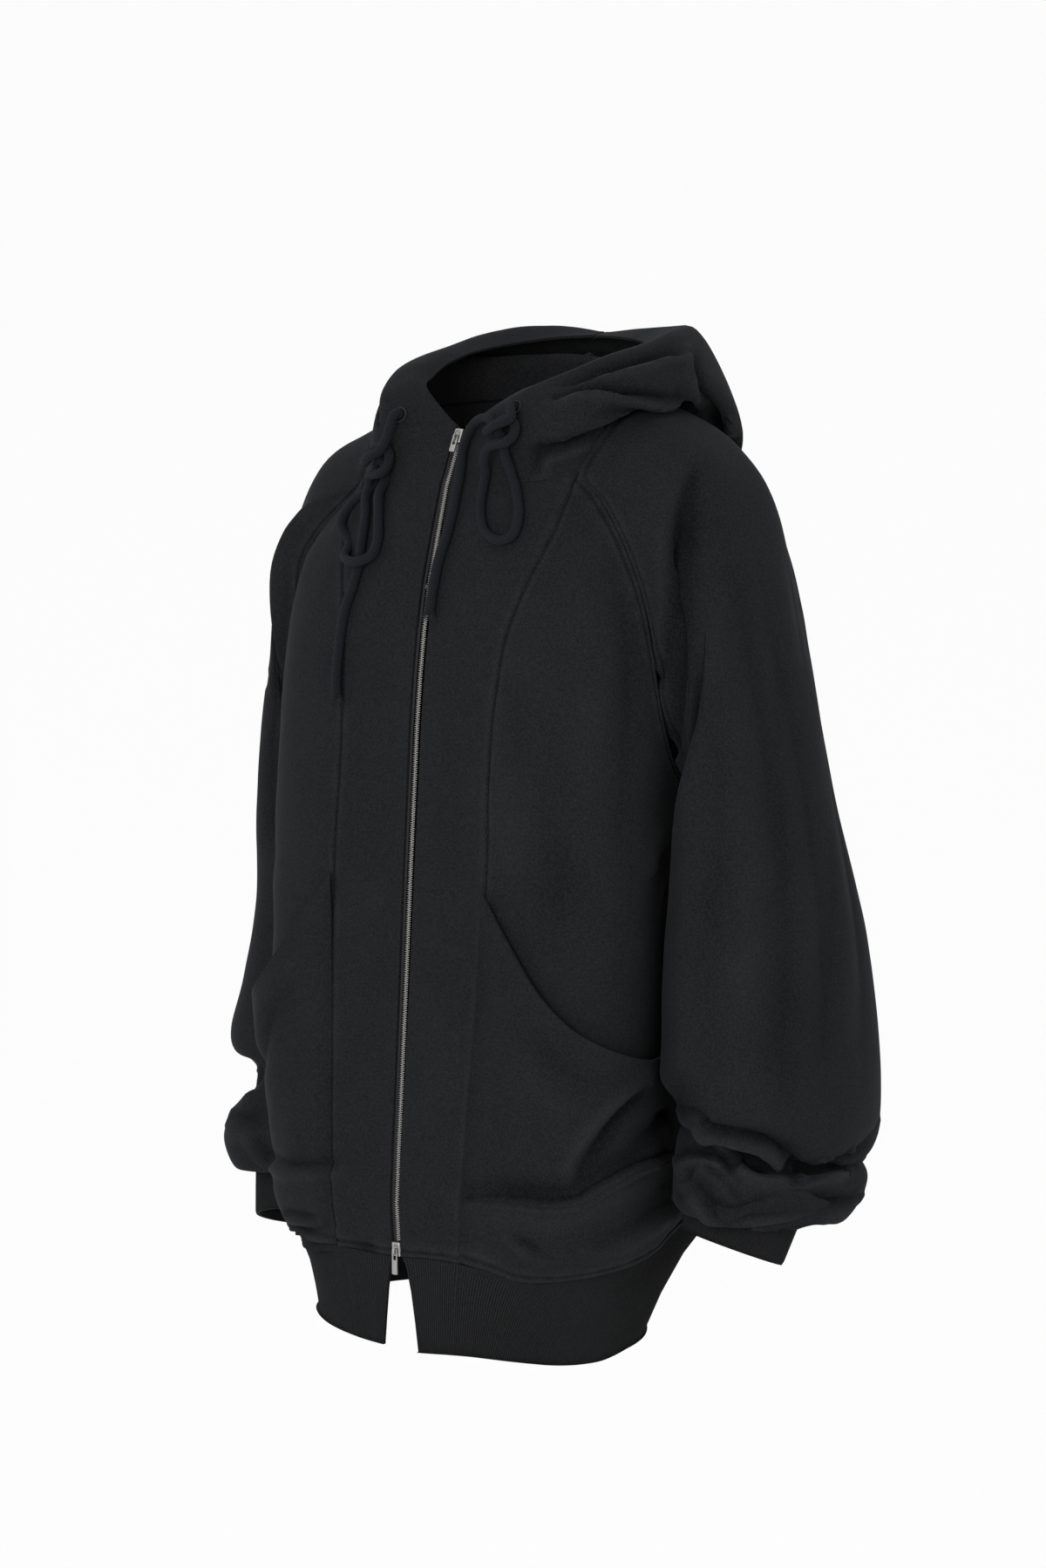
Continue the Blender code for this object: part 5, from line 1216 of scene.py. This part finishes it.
def smooth_route(route, step):
    """Even points along the smooth line through a route, its slopes taken by length."""
    keys = walked_along(route)
    slopes = np.gradient(route, keys, axis=0)
    steps = np.diff(route, axis=0) / np.diff(keys)[:, None]
    slopes[1:-1] = 0.5 * (steps[1:] + steps[:-1])
    dense = []
    for goal in np.linspace(0, keys[-1], ROUTE_POINTS * len(route)):
        i, t = cell_at(keys, goal)
        span = keys[i + 1] - keys[i]
        dense.append((2 * t ** 3 - 3 * t ** 2 + 1) * route[i]
                     + (t ** 3 - 2 * t ** 2 + t) * span * slopes[i]
                     + (-2 * t ** 3 + 3 * t ** 2) * route[i + 1]
                     + (t ** 3 - t ** 2) * span * slopes[i + 1])
    dense = np.array(dense)
    walked = walked_along(dense)
    goals = np.linspace(0, walked[-1], round(walked[-1] / step) + 1)
    return np.stack([np.interp(goals, walked, dense[:, k]) for k in range(3)], axis=1)


def cord_frames(line):
    """Two directions square to a line at each of its points, without twist."""
    ahead = np.gradient(line, axis=0)
    ahead /= np.linalg.norm(ahead, axis=1, keepdims=True)
    side = np.cross(ahead[0], (0, 0, 1))
    firsts = []
    for way in ahead:
        side = side - way * np.dot(side, way)
        side = side / np.linalg.norm(side)
        firsts.append(side)
    firsts = np.array(firsts)
    return firsts, np.cross(ahead, firsts)


def braided_cord(name, line, radius, strands, relief):
    """Tube along a line, lumpy as a soft braid, with its braid's places as its UV."""
    first, second = cord_frames(line)
    angle = np.arange(CORD_AROUND) / CORD_AROUND * 2 * math.pi
    spokes = (first[:, None] * np.cos(angle)[None, :, None]
              + second[:, None] * np.sin(angle)[None, :, None])
    around = strands * angle[None, :] / (2 * math.pi)
    along = (np.arange(len(line)) * np.linalg.norm(line[1] - line[0])
             * strands / (2 * math.pi * radius))
    braid = (np.sin(math.pi * (around + along[:, None]))
             * np.sin(math.pi * (around - along[:, None])))
    lumps = CORD_LUMPS * noise_at(line, CORD_LUMPS_LENGTH)
    size = radius - relief + relief * braid + lumps[:, None]
    size[-len(CORD_TIP):] *= np.array(CORD_TIP)[:, None]
    points = line[:, None] + spokes * size[:, :, None]
    item = cloth_mesh(name, points, True, np.arange(CORD_AROUND + 1) / CORD_AROUND * strands,
                      along, np.zeros(points.shape[:2]))
    only(item)
    bpy.ops.object.mode_set(mode="EDIT")
    bpy.ops.mesh.select_all(action="DESELECT")
    bpy.ops.mesh.select_non_manifold()
    bpy.ops.mesh.fill_holes(sides=0)
    bpy.ops.mesh.select_all(action="SELECT")
    bpy.ops.mesh.normals_make_consistent(inside=False)
    bpy.ops.object.mode_set(mode="OBJECT")
    bpy.ops.object.shade_smooth_by_angle(angle=CORD_ANGLE)
    return item


def one_strand(length, thick):
    """A loose strand along Y, thinner to its end and a little bent."""
    item = start_from(bpy.ops.mesh.primitive_cylinder_add, vertices=5, radius=thick / 2,
                      depth=length)
    for vert in item.data.vertices:
        share = vert.co.z / length + 0.5
        thin = 1 - STRAND_TAPER * share
        bend = STRAND_BEND * length * share ** 2
        vert.co = (vert.co.x * thin + bend, share * length, vert.co.y * thin)
    return item


def tuft(name, end, ahead, radius):
    """Frayed end of a cord: loose strands fanned out from its cut."""
    ahead = Vector(ahead).normalized()
    side = ahead.orthogonal().normalized()
    places = []
    for n in range(TUFT_STRANDS):
        turn = n * TUFT_TURN
        share = math.sqrt((n + 0.5) / TUFT_STRANDS)
        spoke = side * math.cos(turn) + ahead.cross(side) * math.sin(turn)
        lean = TUFT_SPREAD[0] * share + TUFT_SPREAD[1] * math.sin(n * TUFT_WAVES[0])
        root = Vector(end) - ahead * TUFT_ROOT + spoke * (radius * TUFT_FILL * share)
        place = placed(root, ahead + spoke * lean, spoke.cross(ahead))
        scale = TUFT_LENGTHS[0] + TUFT_LENGTHS[1] * math.sin(n * TUFT_WAVES[1])
        places.append(place @ Matrix.Diagonal((1, scale, 1, 1)))
    item = copies(name, one_strand(STRAND_LENGTH, STRAND_THICK), places)
    dressed(item, "hoodie cord tuft")
    return item


def stitched_eyelet(side):
    """Buttonhole-stitched ring round a drawcord's way out."""
    place, out = eyelet_place(side)
    item = start_from(bpy.ops.mesh.primitive_torus_add, major_radius=EYELET_RADIUS,
                      minor_radius=EYELET_THREAD, major_segments=EYELET_STITCHES * 4,
                      minor_segments=10)
    item.name = f"eyelet_{side}_stitched"
    turn = out.to_track_quat("Z", "Y").to_matrix().to_4x4()
    turn.translation = place + out * EYELET_LIFT
    for vert in item.data.vertices:
        angle = math.atan2(vert.co.y, vert.co.x)
        swell = EYELET_SWELL * math.cos(angle * EYELET_STITCHES)
        spoke = Vector((math.cos(angle), math.sin(angle), 0)) * EYELET_RADIUS
        vert.co = spoke + (vert.co - spoke) * (1 + swell / EYELET_THREAD)
        vert.co = turn @ Vector((vert.co.x, vert.co.y, vert.co.z * EYELET_FLATNESS))
    item.data.shade_smooth()
    dressed(item, "hoodie thread", f"eyelet_{side}")


# ---------------------------------------------------------------- zip
TOOTH_DEPTH = 0.0024
TOOTH_LENGTH = 0.82       # of a tooth along the zip, as a share of their pitch
TOOTH_OFFSET = 0.0008     # of the two rows of teeth from the middle, by turns
TOOTH_ROUNDING = 0.3      # of its thickness


def chain_line():
    """Middle line of the zip's chain, from its CAD node's four-cornered sections."""
    corners = np.unique(np.round([v.co[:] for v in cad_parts["zip_chain"].data.vertices], 6),
                        axis=0)
    corners = corners[np.argsort(corners[:, 2])]
    sections = corners[:len(corners) // 4 * 4].reshape(-1, 4, 3)
    line = sections.mean(axis=1)
    fronts = []
    for four in sections:
        order = np.argsort(four[:, 1])
        fronts.append(four[order[:2]].mean(axis=0) - four[order[2:]].mean(axis=0))
    return line, np.array(fronts)


def one_tooth(width, thick):
    """A rounded tooth with its head to +X."""
    item = start_from(bpy.ops.mesh.primitive_cube_add, size=1)
    item.data.transform(Matrix.Diagonal((width, thick, TOOTH_DEPTH, 1)))
    bevel = item.modifiers.new("rounded", "BEVEL")
    bevel.width = thick * TOOTH_ROUNDING
    bevel.segments = 1
    apply_modifiers(item)
    return item


# ---------------------------------------------------------------- stage and pieces
SENSOR = 36               # height of the camera's sensor, in millimetres
FLOOR_SIZE = 400
LIGHTS = (                # name, metres right, up and towards the camera, size, power
    ("key", -1.2, 0.3, 3.6, 1.2, 64),
    ("fill", 2.2, -1.2, 2.8, 2.0, 5),
)


class HOODIE_OT_stage(bpy.types.Operator):
    """Camera, plain floor and soft studio lights"""
    bl_idname = "hoodie.stage"
    bl_label = "Stage"

    def execute(self, context):
        stage = context.scene.hoodie_stage
        right, up, back = view_axes(stage.azimuth, stage.elevation)
        middle = VIEW_TARGET + right * VIEW_SHIFT
        data = bpy.data.cameras.new("view")
        camera = bpy.data.objects.new("view", data)
        context.scene.collection.objects.link(camera)
        camera.location = middle + back * stage.distance
        camera.rotation_euler = back.to_track_quat("Z", "Y").to_euler()
        data.sensor_fit = "VERTICAL"
        data.sensor_height = SENSOR
        data.lens = SENSOR * stage.distance / stage.view_height
        context.scene.camera = camera
        floor = start_from(bpy.ops.mesh.primitive_plane_add, size=FLOOR_SIZE,
                           location=(0, 0, stage.floor))
        floor.name = "floor"
        pale, tree, _ = start_material("studio floor", (0.97, 0.97, 0.97), 0.9)
        floor.data.materials.append(pale)
        world = bpy.data.worlds.new("studio")
        context.scene.world = world
        world.use_nodes = True
        shade = world.node_tree.nodes["Background"]
        shade.inputs["Color"].default_value = (1, 1, 1, 1)
        shade.inputs["Strength"].default_value = 1.0
        for name, across, above, towards, size, power in LIGHTS:
            light = bpy.data.lights.new(name, "AREA")
            light.size = size
            light.energy = power
            lamp = bpy.data.objects.new(name, light)
            context.scene.collection.objects.link(lamp)
            offset = right * across + up * above + back * towards
            lamp.location = VIEW_TARGET + offset
            lamp.rotation_euler = offset.to_track_quat("Z", "Y").to_euler()
        context.scene.view_settings.view_transform = "Standard"
        return {"FINISHED"}


class HOODIE_OT_cords(bpy.types.Operator):
    """Drawcords with their knots, loops and frayed ends, and the eyelets they come out of"""
    bl_idname = "hoodie.cords"
    bl_label = "Drawcords"

    def execute(self, context):
        size = context.scene.hoodie_cord
        tree = solid_fronts()
        for side in SIDES:
            line = smooth_route(cord_route(tree, side), CORD_STEP)
            item = braided_cord(f"drawcord_{side}_braid", line, size.diameter / 2,
                                size.strands, size.relief)
            dressed(item, "hoodie cord", f"drawcord_{side}")
            ends = tuft(f"drawcord_{side}_tuft", line[-1], line[-1] - line[-4],
                        size.diameter / 2)
            stitched_eyelet(side)
        return {"FINISHED"}


class HOODIE_OT_shapes(bpy.types.Operator):
    """Read the cloth walls and press their seams and creases in"""
    bl_idname = "hoodie.shapes"
    bl_label = "Shape the cloth"

    def execute(self, context):
        shape_skins()
        return {"FINISHED"}


class HOODIE_OT_body(bpy.types.Operator):
    """Fronts and back"""
    bl_idname = "hoodie.body"
    bl_label = "Body panels"

    def execute(self, context):
        return dress_walls("centre_front_left", "side_front_left", "centre_front_right",
                           "side_front_right", "back")


class HOODIE_OT_sleeves(bpy.types.Operator):
    """Raglan sleeves"""
    bl_idname = "hoodie.sleeves"
    bl_label = "Sleeves"

    def execute(self, context):
        return dress_walls("sleeve_left", "sleeve_right")


class HOODIE_OT_hood(bpy.types.Operator):
    """Both halves of the hood"""
    bl_idname = "hoodie.hood"
    bl_label = "Hood"

    def execute(self, context):
        return dress_walls("hood_left", "hood_right")


class HOODIE_OT_pockets(bpy.types.Operator):
    """Patch pockets with curved mouths"""
    bl_idname = "hoodie.pockets"
    bl_label = "Pockets"

    def execute(self, context):
        return dress_walls("pocket_left", "pocket_right")


class HOODIE_OT_ribs(bpy.types.Operator):
    """Rib knit of the hem and the cuffs"""
    bl_idname = "hoodie.ribs"
    bl_label = "Ribs"

    def execute(self, context):
        rib = context.scene.hoodie_rib
        rib_piece("hem_rib", rib.hem_pitch, (0.012, -0.155, -0.790), (-0.016, -0.155, -0.788))
        rib_piece("cuff_left", rib.cuff_pitch, (0.185, -0.010, -0.710))
        rib_piece("cuff_right", rib.cuff_pitch, (-0.178, -0.010, -0.745))
        return {"FINISHED"}


class HOODIE_OT_stitching(bpy.types.Operator):
    """Rows of topstitching beside the seams"""
    bl_idname = "hoodie.stitching"
    bl_label = "Stitching"

    def execute(self, context):
        sewing = context.scene.hoodie_stitch
        places = []
        for name, side, distance in SEAM_ROWS:
            line, outs = line_beside(SKINS[name], side, distance)
            places += stitch_places(line, outs, sewing.pitch, sewing.thread * STITCH_RISE)
        item = copies("topstitching", one_stitch(sewing.length, sewing.thread), places)
        dressed(item, "hoodie thread")
        return {"FINISHED"}


ALLOWANCE_WIDTH = 0.0045  # of a seam allowance on its own piece
ALLOWANCE_OVER = 0.0045   # and past the seam, under the next piece
NECK_TAPE_OVER = 0.0140   # the same of the tape that binds the neck seam
ALLOWANCE_CLOTH = 0.0004
ALLOWANCES = [("back", "low"), ("back", "high"), ("back", "first"), ("back", "last")]
for SIDE in SIDES:
    ALLOWANCES += [(f"sleeve_{SIDE}", "high"), (f"sleeve_{SIDE}", "low"),
                   (f"hood_{SIDE}", "low"), (f"centre_front_{SIDE}", "low"),
                   (f"side_front_{SIDE}", "low")]
ALLOWANCES += [("centre_front_left", "last"), ("centre_front_right", "first"),
               ("hood_left", "last")]


def allowance(name, side):
    """Strip of cloth behind one sewn side of a piece, lapping under the next piece."""
    skin = SKINS[name]
    inner, outs = line_beside(skin, side, ALLOWANCE_WIDTH)
    edge, _ = line_beside(skin, side, 0.0)
    reach = NECK_TAPE_OVER if "hood" in name and side == "low" else ALLOWANCE_OVER
    over = edge + (edge - inner) * (reach / ALLOWANCE_WIDTH)
    depth = skin.wall + ALLOWANCE_CLOTH
    rows = np.stack([line - outs * depth for line in (inner, edge, over)])
    if side in ("high", "first"):
        rows = rows[::-1]
    up = (0, reach, reach + ALLOWANCE_WIDTH)
    item = cloth_mesh(f"{name}_{side}_allowance", rows, False, walked_along(edge),
                      np.array(up), np.zeros(rows.shape[:2]))
    solid = item.modifiers.new("cloth", "SOLIDIFY")
    solid.thickness = ALLOWANCE_CLOTH
    solid.offset = 0
    apply_modifiers(item)
    return item


class HOODIE_OT_allowances(bpy.types.Operator):
    """Bound seam allowances on the wrong side of the cloth"""
    bl_idname = "hoodie.allowances"
    bl_label = "Seam allowances"

    def execute(self, context):
        strips = [allowance(name, side) for name, side in ALLOWANCES]
        only(strips[0])
        for strip in strips[1:]:
            strip.select_set(True)
        bpy.ops.object.join()
        item = context.object
        item.name = "seam_allowances"
        bpy.ops.object.shade_smooth_by_angle(angle=CLOTH_ANGLE)
        dressed(item, "hoodie jersey")
        return {"FINISHED"}


class HOODIE_OT_zip(bpy.types.Operator):
    """Teeth, tapes, sliders and pull tabs of the zip"""
    bl_idname = "hoodie.zip"
    bl_label = "Zip"

    def execute(self, context):
        size = context.scene.hoodie_zip
        line, fronts = chain_line()
        walked = walked_along(line)
        places = []
        for n, goal in enumerate(np.arange(size.tooth_pitch / 2, walked[-1], size.tooth_pitch)):
            i, t = cell_at(walked, goal)
            place = Vector(at_share(line, i, t))
            place.x += TOOTH_OFFSET if n % 2 else -TOOTH_OFFSET
            places.append(placed(place, line[i + 1] - line[i], fronts[i]))
        tooth = one_tooth(size.tooth_width, size.tooth_pitch * TOOTH_LENGTH)
        dressed(copies("zip_teeth", tooth, places), "hoodie nickel", "zip_chain")
        for name in ("top_slider", "bottom_slider", "top_pull_tab", "bottom_pull_tab"):
            refinish(name, "hoodie nickel")
        for name in ("zip_tape_left", "zip_tape_right"):
            refinish(name, "hoodie tape")
        return {"FINISHED"}


def refinish(name, finish):
    """Give a CAD node a detailed finish in place of its plain one."""
    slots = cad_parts[name].data.materials
    slots.clear()
    slots.append(finish_of(finish))


class HOODIE_PT_panel(bpy.types.Panel):
    """Buttons for every group of pieces"""
    bl_idname = "HOODIE_PT_panel"
    bl_label = "Zip up hoodie"
    bl_space_type = "VIEW_3D"
    bl_region_type = "UI"
    bl_category = "Hoodie"

    def draw(self, context):
        for name in SETTINGS:
            settings = getattr(context.scene, name)
            for key in settings.bl_rna.properties.keys():
                if key not in ("rna_type", "name"):
                    self.layout.prop(settings, key)
        for step in STEPS:
            self.layout.operator(step.bl_idname)


STEPS = (HOODIE_OT_stage, HOODIE_OT_cords, HOODIE_OT_shapes, HOODIE_OT_body,
         HOODIE_OT_sleeves, HOODIE_OT_hood, HOODIE_OT_pockets, HOODIE_OT_ribs,
         HOODIE_OT_stitching, HOODIE_OT_allowances, HOODIE_OT_zip)


def register():
    for name, settings in SETTINGS.items():
        bpy.utils.register_class(settings)
        setattr(bpy.types.Scene, name, PointerProperty(type=settings))
    for item in (*STEPS, HOODIE_PT_panel):
        bpy.utils.register_class(item)


def unregister():
    for item in (HOODIE_PT_panel, *reversed(STEPS)):
        bpy.utils.unregister_class(item)
    for name, settings in reversed(SETTINGS.items()):
        delattr(bpy.types.Scene, name)
        bpy.utils.unregister_class(settings)


def main():
    register()
    for step in STEPS:
        group, name = step.bl_idname.split(".")
        getattr(getattr(bpy.ops, group), name)()


if __name__ == "__main__":
    main()
